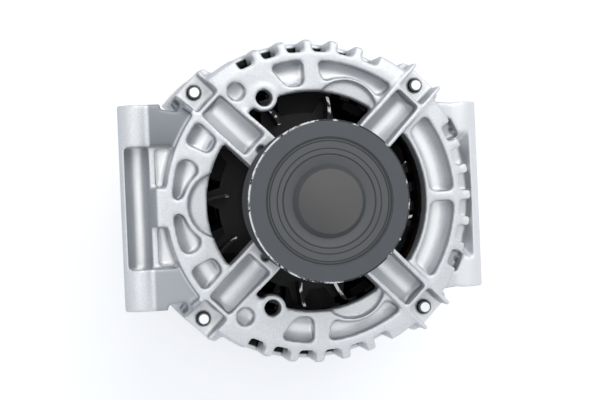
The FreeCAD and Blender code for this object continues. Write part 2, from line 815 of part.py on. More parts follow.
def slip_ring_end_bracket():
    """The rear casting: an end wall with air intakes and the bearing boss, a slotted wall
    and four lobes for the through bolts."""
    body = body_called("slip_ring_end_bracket")
    high = stator_back + d.spigot_depth
    boss = d.rear_bearing_radius + d.rear_sleeve_wall
    boss_outer = boss + d.rear_boss_wall
    boss_back = end_wall_inner - d.rear_bearing_width - 1
    wall_edge = d.cover_radius + 1.5
    revolve(body, [
        (boss, boss_back), (boss_outer, boss_back), (boss_outer, d.cover_depth),
        (wall_edge, d.cover_depth), (d.wall_radius, d.cover_depth + d.rear_shoulder),
        (d.wall_radius, high), (d.stator_radius, high), (d.stator_radius, stator_back),
        (wall_inner, stator_back), (wall_inner, d.cover_depth + d.rear_shoulder + 2),
        (wall_edge - d.rear_end_wall, end_wall_inner), (boss_outer, end_wall_inner),
        (boss_outer, end_wall_inner + d.rear_boss_lip), (boss - 3.5, end_wall_inner + d.rear_boss_lip),
        (boss - 3.5, end_wall_inner), (boss, end_wall_inner)])
    lobes = sketch_on(body, "XY_Plane", high - d.rear_lobe_height)
    near = d.lobe_half_angle - 2
    for angle in spoke_angles:
        draw(lobes, [
            polar(d.stator_radius, angle - near), polar(d.lobe_radius, angle - near + 1),
            polar(d.lobe_radius, angle + near - 1), polar(d.stator_radius, angle + near)],
            out={1: d.lobe_radius}, dent={3: d.stator_radius})
    pad(body, lobes, d.rear_lobe_height)
    holes = sketch_on(body, "XY_Plane", d.cover_depth)
    for angle in spoke_angles:
        circle(holes, polar(d.bolt_circle, angle), d.bolt_radius + d.bolt_hole_clearance)
    pocket(body, holes, high, upward=True)
    seats = sketch_on(body, "XY_Plane", d.cover_depth)
    for angle in spoke_angles:
        circle(seats, polar(d.bolt_circle, angle), d.bolt_head_radius + 1.2)
    pocket(body, seats, high - d.rear_lobe_height - d.cover_depth, upward=True)
    vents = sketch_on(body, "XY_Plane", d.cover_depth - 1)
    for middle in (0, 45, 90, 135, 180, 225, 270):
        half = d.rear_vent_angle / 2
        sector(vents, d.plate_inner, d.rear_vent_outer, middle - half, middle + half)
    for x, y in regulator_screws() + rectifier_screws():
        circle(vents, (x, y), d.small_screw_radius)
    for angle in cover_screw_angles:
        circle(vents, polar(d.cover_screw_circle, angle), d.small_screw_radius)
    pocket(body, vents, d.rear_end_wall + 2, upward=True)
    slots = sketch_on(body, "XY_Plane", stator_back - 4 - d.rear_slot_height)
    for middle in (0, 90, 180, 270):
        for step in (-2, -1, 0, 1, 2):
            taper(slots, d.outlet_inner_radius, d.rear_slot_width / 2, d.wall_radius + 3,
                  d.rear_slot_width / 2, middle + step * d.rear_slot_pitch_angle)
    pocket(body, slots, d.rear_slot_height, upward=True)


def regulator_screws():
    return [(side * d.regulator_screw_offset, d.regulator_screw_reach) for side in (1, -1)]


def rectifier_screws():
    return [polar(d.diode_circle, d.plate_start_angle + 5.5),
            polar(d.diode_circle - 5, d.plate_start_angle + 127.5)]


cover_screw_angles = (25, 155, 270)


def screws(label, places, shank_radius, head_radius, head_height, seat, length):
    """Pan-head screws with a cross-shaped drive, their heads towards the rear."""
    body = body_called(label)
    shanks = sketch_on(body, "XY_Plane", seat)
    heads = sketch_on(body, "XY_Plane", seat - head_height)
    drives = sketch_on(body, "XY_Plane", seat - head_height)
    for x, y in places:
        circle(shanks, (x, y), shank_radius)
        circle(heads, (x, y), head_radius)
        arm = head_radius * 0.55
        slot = head_radius * 0.14
        cross = [(arm, -slot), (arm, slot), (slot, slot), (slot, arm), (-slot, arm), (-slot, slot),
                 (-arm, slot), (-arm, -slot), (-slot, -slot), (-slot, -arm), (slot, -arm),
                 (slot, -slot)]
        draw(drives, [(x + dx, y + dy) for dx, dy in cross])
    pad(body, heads, head_height)
    pad(body, shanks, length)
    pocket(body, drives, head_height * 0.5, upward=True)


def through_bolts():
    """Four bolts that clamp both brackets on the stator, hex heads at the rear."""
    body = body_called("through_bolts")
    seat = stator_back + d.spigot_depth - d.rear_lobe_height
    tip = bolt_pad + d.bolt_stick_out
    heads = sketch_on(body, "XY_Plane", seat - d.bolt_head_height)
    collars = sketch_on(body, "XY_Plane", seat - 1)
    shanks = sketch_on(body, "XY_Plane", seat - 0.5)
    ends = sketch_on(body, "XY_Plane", tip - 1)
    for angle in spoke_angles:
        centre = polar(d.bolt_circle, angle)
        hexagon(heads, centre, 2 * d.bolt_head_radius - 0.6, angle)
        circle(collars, centre, d.bolt_head_radius + 0.5)
        circle(shanks, centre, d.bolt_radius)
        circle(ends, centre, d.bolt_radius * 0.8)
    pad(body, heads, d.bolt_head_height - 0.5)
    pad(body, collars, 1)
    pad(body, shanks, tip - 1 - seat + 0.5)
    pad(body, ends, 1)


def stator_core():
    """The laminated ring with open slots towards the rotor."""
    body = body_called("stator_core")
    revolve(body, [(d.stator_bore, stator_back), (d.stator_radius, stator_back),
                   (d.stator_radius, stator_front), (d.stator_bore, stator_front)])
    slots = sketch_on(body, "XY_Plane", stator_back - 1)
    half = d.slot_width / 2
    taper(slots, d.stator_bore - 2, half, d.stator_bore + d.slot_depth, half)
    slot = pocket(body, slots, d.stator_stack + 2, upward=True)
    around(body, [slot], d.slot_count)


def stator_winding():
    """Copper bars in the slots, bound into a ring of end turns at each end."""
    body = body_called("stator_winding")
    inner = d.stator_bore + 1.4
    outer = inner + d.winding_width
    gap = 0.4
    back = stator_back - gap
    front = stator_front + gap
    low = back - d.winding_overhang
    high = front + d.winding_overhang
    revolve(body, [(inner + 2, low), (outer - 2, low), (outer, low + 2.5), (outer, back),
                   (inner, back), (inner, low + 2.5)],
            [(inner, front), (outer, front), (outer, high - 2.5), (outer - 2, high),
             (inner + 2, high), (inner, high - 2.5)])
    bars = sketch_on(body, "XY_Plane", back - 1)
    half = d.slot_width / 2 - d.slot_liner
    taper(bars, inner + 0.4, half, d.stator_bore + d.slot_depth - d.slot_liner, half)
    bar = pad(body, bars, front - back + 2)
    around(body, [bar], d.slot_count)


def rotor_shaft():
    """The steel shaft: thread and drive socket at the pulley end, a stepped tail for the rings."""
    body = body_called("rotor_shaft")
    tip = pulley_front - d.cap_depth - 1.5
    tail = d.shaft_end_inset
    revolve(body, [
        (0, tail), (d.shaft_tail_radius - 0.6, tail), (d.shaft_tail_radius, tail + 0.6),
        (d.shaft_tail_radius, rear_bearing_back - 1.5), (d.journal_radius, rear_bearing_back - 1),
        (d.journal_radius, rotor_back), (d.shaft_core_radius, rotor_back),
        (d.shaft_core_radius, rotor_front), (d.journal_radius, rotor_front),
        (d.journal_radius, bearing_front), (d.thread_radius, bearing_front + 0.5),
        (d.thread_radius, tip - 1), (d.thread_radius - 1, tip), (0, tip)])
    socket = sketch_on(body, "XY_Plane", tip)
    hexagon(socket, (as_size(0), as_size(0)), 2 * d.key_socket_radius)
    pocket(body, socket, d.key_socket_depth)


def claw_pole(label, face, inward, turn):
    """Half of the rotor iron: a core, a plate and tapered fingers that reach over the coil."""
    body = body_called(label)
    plate_inner_face = face + inward * d.pole_plate
    bore = d.shaft_core_radius
    near, far = (face, rotor_middle) if inward == 1 else (rotor_middle, face)
    root = rotor_radius - d.finger_root_depth
    low, high = (face, plate_inner_face) if inward == 1 else (plate_inner_face, face)
    step = plate_inner_face
    if inward == 1:
        revolve(body, [(bore, near), (root - 3, near), (root - 3, step),
                       (d.pole_core_radius, step), (d.pole_core_radius, far), (bore, far)])
    else:
        revolve(body, [(bore, near), (d.pole_core_radius, near), (d.pole_core_radius, step),
                       (root - 3, step), (root - 3, far), (bore, far)])
    arm = sketch_on(body, "XY_Plane", low, turn)
    half = d.finger_root_width / 2
    lateral = finger_edge(rotor_radius, half)
    draw(arm, [(root - 6, -half + 2), lateral[0], lateral[1], (root - 6, half - 2)],
         out={1: rotor_radius})
    arm_pad = pad(body, arm, high - low)
    base = sketch_on(body, "XY_Plane", plate_inner_face, turn)
    draw(base, [(root, -half), lateral[0], lateral[1], (root, half)], out={1: rotor_radius})
    tip_level = face + inward * (d.rotor_length - d.finger_short)
    tip = sketch_on(body, "XY_Plane", tip_level, turn)
    tip_half = d.finger_tip_width / 2
    lateral = finger_edge(rotor_radius, tip_half)
    draw(tip, [(rotor_radius - d.finger_tip_depth, -tip_half), lateral[0], lateral[1],
               (rotor_radius - d.finger_tip_depth, tip_half)], out={1: rotor_radius})
    finger = body.newObject("PartDesign::AdditiveLoft", "Finger")
    finger.Profile = base
    finger.Sections = [tip]
    finger.Ruled = True
    around(body, [arm_pad, finger], d.pole_pair_count)


def finger_edge(radius, half):
    """The two ends of an arc of the rotor's surface, half a width to each side."""
    reach = root_of(radius * radius - half * half)
    return (reach, -half), (reach, half)


def root_of(size):
    return Size(math.sqrt(size.value), f"sqrt({size.text})")


def fan(label, disc_low, blades_low, height, blade_angles):
    """A pressed fan: a flat disc with swept blades bent up from it."""
    body = body_called(label)
    revolve(body, [(d.journal_radius + 4, disc_low), (d.blade_inner_radius + 3, disc_low),
                   (d.blade_inner_radius + 3, disc_low + d.fan_sheet),
                   (d.journal_radius + 4, disc_low + d.fan_sheet)])
    arms = sketch_on(body, "XY_Plane", disc_low)
    blades = sketch_on(body, "XY_Plane", blades_low)
    sweep = d.blade_sweep_angle
    outer = d.blade_outer_radius
    inner = d.blade_inner_radius
    skin_angle = 2.1
    for angle in blade_angles:
        draw(blades, [polar(inner, angle - sweep), polar(outer, angle - skin_angle * 0.75),
                      polar(outer, angle), polar(inner, angle - sweep + skin_angle)],
             dent={2: d.blade_bend_radius}, out={0: d.blade_bend_radius})
        taper(arms, inner + 1, 5.2, outer - 1.5, 2.4, angle - sweep * 0.45)
    pad(body, arms, d.fan_sheet)
    pad(body, blades, height)


def bearing(name, shaft_radius, outer, back, width, count):
    """Outer ring, inner ring and balls of one ball bearing, each a piece of its own."""
    middle = back + width / 2
    pitch = (shaft_radius + outer) / 2
    ball = (outer - shaft_radius) / 2 - d.race_wall + 1.4
    groove = ball + d.ball_clearance
    outer_inner = outer - d.race_wall
    inner_outer = shaft_radius + d.race_wall
    rise_out = root_of(groove * groove - (outer_inner - pitch) * (outer_inner - pitch))
    rise_in = root_of(groove * groove - (pitch - inner_outer) * (pitch - inner_outer))
    outer_ring = body_called(f"{name}_outer_ring")
    revolve(outer_ring, [
        (outer_inner, back), (outer, back), (outer, back + width), (outer_inner, back + width),
        (outer_inner, middle + rise_out), (outer_inner, middle - rise_out)], dent={4: groove})
    inner_ring = body_called(f"{name}_inner_ring")
    revolve(inner_ring, [
        (shaft_radius, back), (inner_outer, back), (inner_outer, middle - rise_in),
        (inner_outer, middle + rise_in), (inner_outer, back + width),
        (shaft_radius, back + width)], dent={2: groove})
    balls = []
    for number in range(round(count.value)):
        sphere = doc.addObject("Part::Sphere", "Ball")
        bind(sphere, "Radius", ball)
        x, y = polar(pitch, number * 360 / count)
        place(sphere, x, y, middle)
        balls.append(sphere)
    group(f"{name}_balls", balls)


def bearing_retainer():
    """The steel plate that holds the front bearing in its hub, and its four screws."""
    body = body_called("bearing_retainer")
    low = bearing_back - d.retainer_thickness
    revolve(body, [(d.journal_radius + 5, low), (d.front_bearing_radius + 2, low),
                   (d.front_bearing_radius + 2, bearing_back), (d.journal_radius + 5, bearing_back)])
    ears = sketch_on(body, "XY_Plane", low)
    for angle in spoke_angles:
        taper(ears, d.front_bearing_radius - 1, 5, d.retainer_reach, 3.5, angle)
    pad(body, ears, d.retainer_thickness)
    holes = sketch_on(body, "XY_Plane", low - 1)
    for angle in spoke_angles:
        circle(holes, polar(d.retainer_screw_circle, angle), d.retainer_screw_radius + 0.1)
    pocket(body, holes, d.retainer_thickness + 2, upward=True)
    screws("retainer_screws", [polar(d.retainer_screw_circle, angle) for angle in spoke_angles],
           d.retainer_screw_radius, d.retainer_head_radius, d.retainer_head_height, low,
           d.retainer_thickness + d.front_bearing_width - 2)


def slip_rings():
    """Two copper rings on an insulating sleeve at the shaft's tail."""
    low = d.slip_ring_first - d.slip_ring_width / 2 - 1
    high = d.slip_ring_first + d.slip_ring_pitch + d.slip_ring_width / 2 + 1
    inner = d.slip_ring_radius - d.slip_ring_wall
    ring("slip_ring_sleeve", d.shaft_tail_radius, inner, low, high)
    for number, label in enumerate(("rear_slip_ring", "front_slip_ring")):
        middle = d.slip_ring_first + number * d.slip_ring_pitch
        ring(label, inner, d.slip_ring_radius, middle - d.slip_ring_width / 2,
             middle + d.slip_ring_width / 2)


def brush(label, number):
    """A carbon brush with a hollowed end that runs on its slip ring."""
    middle = d.slip_ring_first + number * d.slip_ring_pitch
    body = body_called(label)
    face = sketch_on(body, "XY_Plane", middle - d.brush_height / 2)
    reach = d.slip_ring_radius + d.brush_rest_gap
    half = d.brush_width / 2
    edge = root_of(reach * reach - half * half)
    draw(face, [(-half, edge), (half, edge), (half, brush_back), (-half, brush_back)],
         dent={0: reach})
    pad(body, face, d.brush_height)


brush_back = d.slip_ring_radius + d.brush_rest_gap + d.brush_length
holder_inside = brush_back + d.brush_travel + d.spring_solid


def brush_spring(label, number):
    """The coil spring that pushes a brush inwards, with a square wire."""
    middle = d.slip_ring_first + number * d.slip_ring_pitch
    length = holder_inside - brush_back - 0.4 - d.spring_wire
    helix = doc.addObject("Part::Helix", "Coil")
    helix.Radius = d.spring_radius.value
    bind(helix, "Radius", d.spring_radius)
    bind(helix, "Height", length)
    bind(helix, "Pitch", length / d.spring_turns)
    wire = doc.addObject("Part::RegularPolygon", "Wire")
    wire.Polygon = 4
    bind(wire, "Circumradius", d.spring_wire / 2)
    wire.Placement = FreeCAD.Placement(
        FreeCAD.Vector(), FreeCAD.Rotation(FreeCAD.Vector(1, 0, 0), 90))
    bind(wire, "Placement.Base.x", d.spring_radius)
    doc.recompute()
    sweep = doc.addObject("Part::Sweep", label)
    sweep.Sections = [wire]
    sweep.Spine = (helix, ["Edge1"])
    sweep.Solid = True
    sweep.Frenet = True
    sweep.Label = label
    sweep.Placement = FreeCAD.Placement(
        FreeCAD.Vector(), FreeCAD.Rotation(FreeCAD.Vector(1, 0, 0), -90))
    place(sweep, as_size(0), brush_back + 0.2 + d.spring_wire / 2, middle)
    pieces.append(sweep)


def brush_holder():
    """The moulded holder with one square channel for each brush, on a foot that meets the
    regulator's flange."""
    body = body_called("brush_holder")
    half = d.brush_width / 2 + d.brush_play + d.holder_wall
    low = d.slip_ring_first - d.brush_height / 2 - d.brush_play - d.holder_wall * 0.7
    high = (d.slip_ring_first + d.slip_ring_pitch + d.brush_height / 2 + d.brush_play
            + d.holder_wall * 0.7)
    outline = sketch_on(body, "XY_Plane", low)
    block(outline, -half, half, d.holder_mouth, holder_inside + d.holder_wall)
    pad(body, outline, high - low)
    foot = sketch_on(body, "XY_Plane", high - 0.5)
    block(foot, -half, half, d.regulator_inner + 1, holder_inside + d.holder_wall)
    pad(body, foot, d.cover_depth - d.regulator_flange - high + 0.5)
    channels = sketch_on(body, "XZ_Plane", -d.holder_mouth)
    for number in (0, 1):
        middle = d.slip_ring_first + number * d.slip_ring_pitch
        play = d.brush_width / 2 + d.brush_play
        rise = d.brush_height / 2 + d.brush_play
        block(channels, -play, play, middle - rise, middle + rise)
    pocket(body, channels, holder_inside - d.holder_mouth)


def regulator():
    """The moulded regulator with its flange, chip housing and plug socket."""
    body = body_called("regulator")
    flange_low = d.cover_depth - d.regulator_flange
    half = d.regulator_half_width
    inner = d.regulator_inner
    flange = sketch_on(body, "XY_Plane", flange_low)
    block(flange, -half, half, inner, d.regulator_reach)
    pad(body, flange, d.regulator_flange)
    clear = d.brush_width / 2 + d.brush_play + d.holder_wall + 0.3
    chip = sketch_on(body, "XY_Plane", flange_low - d.regulator_chip_height)
    block(chip, clear, half - 1, d.regulator_body_start, d.regulator_reach - 1)
    pad(body, chip, d.regulator_chip_height)
    socket_low = flange_low - d.socket_height - 1
    socket = sketch_on(body, "XY_Plane", socket_low)
    block(socket, -clear - d.socket_width, -clear, d.regulator_body_start, d.socket_mouth)
    pad(body, socket, d.socket_height + 1.2)
    cavity = sketch_on(body, "XZ_Plane", -d.socket_mouth)
    wall = d.socket_wall
    block(cavity, -clear - d.socket_width + wall, -clear - wall, socket_low + wall,
          socket_low + d.socket_height - wall)
    pocket(body, cavity, d.socket_reach, upward=True)
    holes = sketch_on(body, "XY_Plane", flange_low - 1)
    for x, y in regulator_screws():
        circle(holes, (x, y), d.small_screw_radius + 0.2)
    pocket(body, holes, d.regulator_flange + 2, upward=True)
    pins = body_called("connector_pins")
    blades = sketch_on(pins, "XZ_Plane", -(d.socket_mouth - d.socket_reach))
    level = socket_low + d.socket_height / 2
    for number in (-1, 0, 1):
        middle = -clear - d.socket_width / 2 + number * d.pin_pitch
        block(blades, middle - d.pin_width / 2, middle + d.pin_width / 2,
              level - d.pin_thickness / 2, level + d.pin_thickness / 2)
    blade_pad = pad(pins, blades, d.socket_reach - 4)
    blade_pad.Reversed = True
    screws("regulator_screws", regulator_screws(), d.small_screw_radius, d.small_head_radius,
           d.small_head_height, flange_low, d.regulator_flange + d.rear_end_wall - 0.5)


def rectifier():
    """The crescent diode pack: two metal plates with an insulator between and six diodes."""
    start = d.plate_start_angle
    stop = start + d.plate_sweep_angle
    negative_low = d.cover_depth - d.plate_thickness
    insulator_low = negative_low - d.insulator_thickness
    positive_low = insulator_low - d.plate_thickness
    even = [start + d.first_diode_angle + d.diode_pitch_angle * step for step in (0, 2, 4)]
    odd = [start + d.first_diode_angle + d.diode_pitch_angle * step for step in (1, 3, 5)]
    layers = (("rectifier_negative_plate", negative_low, d.plate_thickness, even, 0),
              ("rectifier_insulator", insulator_low, d.insulator_thickness, even, 0.5),
              ("rectifier_positive_plate", positive_low, d.plate_thickness, even + odd, 0.5))
    stud = polar(d.stud_circle, start + d.stud_angle)
    for label, low, thickness, angles, spare in layers:
        body = body_called(label)
        plate = sketch_on(body, "XY_Plane", low)
        sector(plate, d.plate_inner, d.plate_outer, start, stop)
        pad(body, plate, thickness)
        holes = sketch_on(body, "XY_Plane", low - 1)
        for angle in angles:
            wide = spare if angle in even else 0
            circle(holes, polar(d.diode_circle, angle), d.diode_radius + d.diode_fit + wide)
        for x, y in rectifier_screws():
            circle(holes, (x, y), d.small_screw_radius + 0.2)
        if label == "rectifier_positive_plate":
            circle(holes, stud, d.stud_radius + d.stud_fit)
        pocket(body, holes, thickness + 2, upward=True)
    negative = body_called("negative_diodes")
    cups = sketch_on(negative, "XY_Plane", positive_low - 1)
    for angle in even:
        circle(cups, polar(d.diode_circle, angle), d.diode_radius)
    pad(negative, cups, d.cover_depth - positive_low + 1)
    positive = body_called("positive_diodes")
    cups = sketch_on(positive, "XY_Plane", positive_low - d.diode_height)
    for angle in odd:
        circle(cups, polar(d.diode_circle, angle), d.diode_radius)
    pad(positive, cups, d.diode_height + d.plate_thickness)
    screws("rectifier_screws", rectifier_screws(), d.small_screw_radius, d.small_head_radius,
           d.small_head_height, positive_low, d.cover_depth - positive_low + d.rear_end_wall - 0.5)
    # The stud's free end takes the cable; behind the nut's face it is drawn at its thread's middle.
    post = body_called("battery_stud")
    nut_low = positive_low - d.stud_nut_height
    shoulder = nut_low - 0.5
    bottom = sketch_on(post, "XY_Plane", d.stud_inset)
    circle(bottom, stud, d.stud_radius)
    pad(post, bottom, shoulder - d.stud_inset)
    thread = sketch_on(post, "XY_Plane", shoulder)
    circle(thread, stud, d.stud_thread_radius)
    pad(post, thread, insulator_low - shoulder)
    nut = body_called("battery_stud_nut")
    face = sketch_on(nut, "XY_Plane", nut_low)
    hexagon(face, stud, d.stud_nut_width)
    pad(nut, face, d.stud_nut_height)
    bore = sketch_on(nut, "XY_Plane", nut_low - 1)
    circle(bore, stud, d.stud_thread_radius + d.stud_fit)
    pocket(nut, bore, d.stud_nut_height + 2, upward=True)


def rear_cover():
    """The black moulded cap over the rectifier and regulator, with vents and screw posts."""
    body = body_called("rear_cover")
    wall = d.cover_wall
    low_radius = d.cover_radius - d.cover_taper
    edge = d.cover_edge
    revolve(body, [
        (0, 0), (low_radius - edge, 0), (low_radius - edge * 0.3, edge * 0.3),
        (low_radius, edge), (d.cover_radius, d.cover_depth),
        (d.cover_radius - wall, d.cover_depth), (low_radius - wall, edge + 0.5),
        (low_radius - edge - 0.5, wall), (0, wall)])
    posts = sketch_on(body, "XY_Plane", wall - 0.2)
    for angle in cover_screw_angles:
        circle(posts, polar(d.cover_screw_circle, angle), d.cover_post_radius)
    pad(body, posts, d.cover_depth - wall + 0.2)
    recess = sketch_on(body, "XY_Plane", -1)
    through = sketch_on(body, "XY_Plane", -1)
    for angle in cover_screw_angles:
        circle(recess, polar(d.cover_screw_circle, angle), d.small_head_radius + 0.4)
        circle(through, polar(d.cover_screw_circle, angle), d.small_screw_radius + 0.2)
    pocket(body, recess, d.cover_screw_recess + 1, upward=True)
    stud = polar(d.stud_circle, d.plate_start_angle + d.stud_angle)
    circle(through, stud, d.stud_nut_width / 2 + 3)
    pocket(body, through, d.cover_depth + 2, upward=True)
    vents = sketch_on(body, "XY_Plane", -1)
    half = d.cover_vent_width / 2
    spacing = 360 / d.cover_vent_count
    for number in range(round(d.cover_vent_count.value)):
        beside_stud = d.plate_start_angle + d.stud_angle - number * spacing
        if abs(beside_stud.value) > 16:
            taper(vents, d.cover_vent_inner, half * 0.7, d.cover_vent_outer, half,
                  number * spacing)
    pocket(body, vents, wall + 2, upward=True)
    clear = d.brush_width / 2 + d.brush_play + d.holder_wall + 0.3
    notch = sketch_on(body, "XY_Plane", d.cover_depth - d.regulator_flange - d.socket_height - 2)
    block(notch, -clear - d.socket_width - 1, -clear + 1, d.cover_radius - 14, d.cover_radius + 5)
    pocket(body, notch, d.cover_depth, upward=True)
    screws("cover_screws", [polar(d.cover_screw_circle, angle) for angle in cover_screw_angles],
           d.small_screw_radius, d.small_head_radius, d.small_head_height, d.cover_screw_recess,
           d.cover_depth - d.cover_screw_recess + d.rear_end_wall - 0.5)


def pulley():
    """The overrunning belt pulley: ribbed rim, clutch rollers in a cage, sleeve, seal and cap."""
    rim = body_called("pulley_rim")
    rib_start = pulley_front - d.flange_width - 1.2
    outer = [(d.rib_radius, rib_start)]
    for number in range(round(d.rib_count.value)):
        top = rib_start - number * d.rib_pitch
        outer.append((d.rib_radius, top - d.rib_pitch * 0.18))
        outer.append((d.rib_radius - d.rib_depth, top - d.rib_pitch * 0.44))
        outer.append((d.rib_radius - d.rib_depth, top - d.rib_pitch * 0.56))
        outer.append((d.rib_radius, top - d.rib_pitch * 0.82))
    rib_end = rib_start - d.rib_count * d.rib_pitch
    outer.append((d.rib_radius, rib_end))
    cap_seat = pulley_front - d.cap_depth
    revolve(rim, [
        (d.rim_bore, pulley_back + 0.6), (d.rim_bore + 0.6, pulley_back),
        (d.rear_flange_radius - 0.6, pulley_back), (d.rear_flange_radius, pulley_back + 0.6),
        (d.rear_flange_radius, rib_end - 0.8)] + outer[::-1] + [
        (d.pulley_radius, rib_start + 1.2), (d.pulley_radius, pulley_front - 0.7),
        (d.pulley_radius - 0.7, pulley_front), (d.cap_radius + 0.05, pulley_front),
        (d.cap_radius + 0.05, cap_seat), (d.rim_bore, cap_seat)])
    cap = body_called("pulley_dust_cap")
    dome = d.cap_dome_radius
    foot = dome + d.cap_dome_flank
    face = pulley_front - 0.5
    rise = face + d.cap_dome_rise
    sag = d.cap_dome_sag
    revolve(cap, [
        (0, face - 1.4), (foot, face - 1.4), (foot + 1.5, cap_seat),
        (d.cap_radius, cap_seat), (d.cap_radius, face), (18.3 / 25.2 * d.cap_radius, face),
        (foot, face - 0.6), (dome, rise - sag), (0, rise)],
        out={7: (dome * dome + sag * sag) / (2 * sag)})
    hub = body_called("pulley_hub")
    hub_top = pulley_front - d.cap_depth - 2
    revolve(hub, [
        (d.thread_radius, bearing_front + 0.5), (d.journal_radius, bearing_front),
        (d.hub_nose_radius, bearing_front), (d.hub_nose_radius, pulley_back),
        (d.hub_sleeve_radius, pulley_back + 0.5), (d.hub_sleeve_radius, hub_top),
        (d.thread_radius, hub_top)])
    gap = d.rim_bore - d.hub_sleeve_radius
    roller = gap / 2 - d.roller_clearance
    pitch = d.hub_sleeve_radius + gap / 2
    middle = (pulley_back + hub_top) / 2
    rows = (("clutch_rollers", middle - d.clutch_roller_length / 2, d.clutch_roller_length),
            ("front_support_rollers", hub_top - 1 - d.support_roller_length,
             d.support_roller_length),
            ("rear_support_rollers", pulley_back + 2.8, d.support_roller_length))
    for label, low, length in rows:
        members = []
        for number in range(round(d.clutch_roller_count.value)):
            x, y = polar(pitch, number * 360 / d.clutch_roller_count)
            members.append(cylinder(roller, length, x, y, low))
        group(label, members)
    cage = body_called("clutch_cage")
    low = middle - d.clutch_roller_length / 2 - 0.6
    high = middle + d.clutch_roller_length / 2 + 0.6
    revolve(cage, [(d.hub_sleeve_radius + 0.5, low), (d.rim_bore - 0.5, low),
                   (d.rim_bore - 0.5, high), (d.hub_sleeve_radius + 0.5, high)])
    seats = sketch_on(cage, "XY_Plane", low + 0.5)
    circle(seats, (pitch, 0), roller + 0.1)
    seat = pocket(cage, seats, high - low - 1, upward=True)
    around(cage, [seat], d.clutch_roller_count)
    ring("pulley_seal", d.hub_sleeve_radius + 0.08, d.rim_bore, pulley_back + 0.7,
         pulley_back + 2.5)


def check_and_export():
    doc.recompute()
    for thing in doc.Objects:
        if "Invalid" in thing.State or "Error" in thing.State:
            raise RuntimeError(f"{thing.Name} of {thing.Label} failed: {thing.State}")
    for piece in pieces:
        if piece.Shape.isNull() or not piece.Shape.isValid():
            raise RuntimeError(f"{piece.Label} has no valid shape")
    for piece in pieces:
        piece.Shape.exportStep(f"parts/{piece.Label}.step")


def field_winding():
    """The bobbin between the claw poles and the coil wound on it."""
    flange_gap = 0.3
    low = rotor_back + d.pole_plate + flange_gap
    high = rotor_front - d.pole_plate - flange_gap
    wall = d.bobbin_wall
    bobbin = body_called("coil_bobbin")
    revolve(bobbin, [
        (d.pole_core_radius, low), (d.coil_radius, low), (d.coil_radius, low + wall),
        (d.pole_core_radius + wall, low + wall), (d.pole_core_radius + wall, high - wall),
        (d.coil_radius, high - wall), (d.coil_radius, high), (d.pole_core_radius, high)])
    ring("field_coil", d.pole_core_radius + wall, d.coil_radius - 0.5, low + wall, high - wall)


def fans():
    """Both fans: the front one has unevenly spaced blades, which keeps its noise down."""
    uneven = (20, 50, 79, 114, 148, 178.5, 208.5, 237, 265.4, 288.8, 322, 350)
    fan("front_fan", rotor_front, rotor_front, d.front_blade_height + d.fan_sheet, uneven)
    even = [11 + number * 30 for number in range(12)]
    fan("rear_fan", rotor_back - d.fan_sheet, rotor_back - d.fan_sheet - d.rear_blade_height,
        d.rear_blade_height + d.fan_sheet, even)


def bearings():
    """Both ball bearings with the parts that seat them on the shaft and in the rear boss."""
    bearing("front_bearing", d.journal_radius, d.front_bearing_radius, bearing_back,
            d.front_bearing_width, d.front_ball_count)
    bearing("rear_bearing", d.journal_radius, d.rear_bearing_radius, rear_bearing_back,
            d.rear_bearing_width, d.rear_ball_count)
    ring("spacer_collar", d.journal_radius, d.journal_radius + 3.6, rotor_front, bearing_back)
    ring("rear_bearing_sleeve", d.rear_bearing_radius,
         d.rear_bearing_radius + d.rear_sleeve_wall, rear_bearing_back, rear_bearing_front)
    bearing_retainer()


drive_end_bracket()
slip_ring_end_bracket()
rear_cover()
through_bolts()
stator_core()
stator_winding()
rotor_shaft()
claw_pole("rear_claw_pole", rotor_back, 1, 0)
claw_pole("front_claw_pole", rotor_front, -1, 30)
field_winding()
fans()
bearings()
slip_rings()
for number, word in enumerate(("rear", "front")):
    brush(f"{word}_brush", number)
    brush_spring(f"{word}_brush_spring", number)
brush_holder()
regulator()
rectifier()
pulley()
check_and_export()
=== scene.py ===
import math

import bpy
from mathutils import Matrix, Vector


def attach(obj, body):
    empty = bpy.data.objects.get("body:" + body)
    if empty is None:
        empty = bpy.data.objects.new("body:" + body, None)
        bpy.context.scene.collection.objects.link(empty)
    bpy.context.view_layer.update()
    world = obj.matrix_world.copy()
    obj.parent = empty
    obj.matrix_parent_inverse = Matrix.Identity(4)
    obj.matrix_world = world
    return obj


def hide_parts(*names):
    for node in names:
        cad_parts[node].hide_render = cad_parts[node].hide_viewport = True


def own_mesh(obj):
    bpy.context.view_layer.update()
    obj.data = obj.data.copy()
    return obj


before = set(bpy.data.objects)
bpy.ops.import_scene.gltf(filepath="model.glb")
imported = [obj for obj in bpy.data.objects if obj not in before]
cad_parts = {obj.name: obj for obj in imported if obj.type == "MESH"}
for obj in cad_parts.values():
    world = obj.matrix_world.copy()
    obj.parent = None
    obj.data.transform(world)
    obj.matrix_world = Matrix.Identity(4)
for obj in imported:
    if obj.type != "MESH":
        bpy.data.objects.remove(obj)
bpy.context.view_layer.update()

# Camera. It looks down the shaft from about 0.7 m, a little from the left, through a long lens,
# so the pulley leans to the right over the bracket behind it.
view_turn, view_tilt, view_roll = (math.radians(angle) for angle in (-8.96, 0.52, -2.41))
aim = Vector((0, 0, 0.118))
toward = Vector((math.sin(view_turn) * math.cos(view_tilt), math.sin(view_tilt),
                 math.cos(view_turn) * math.cos(view_tilt)))
level = Vector((0, 1, 0)).cross(toward).normalized()
rise = toward.cross(level)
right = math.cos(view_roll) * level + math.sin(view_roll) * rise
up = math.cos(view_roll) * rise - math.sin(view_roll) * level
distance, left_step, lift = 0.6864, 0.0046, 0.00039
stand = aim + distance * toward - left_step * right + lift * up
lens = bpy.data.cameras.new("camera")
lens.sensor_width = 36
lens.lens = 99.1
lens.clip_start = 0.01
camera = bpy.data.objects.new("camera", lens)
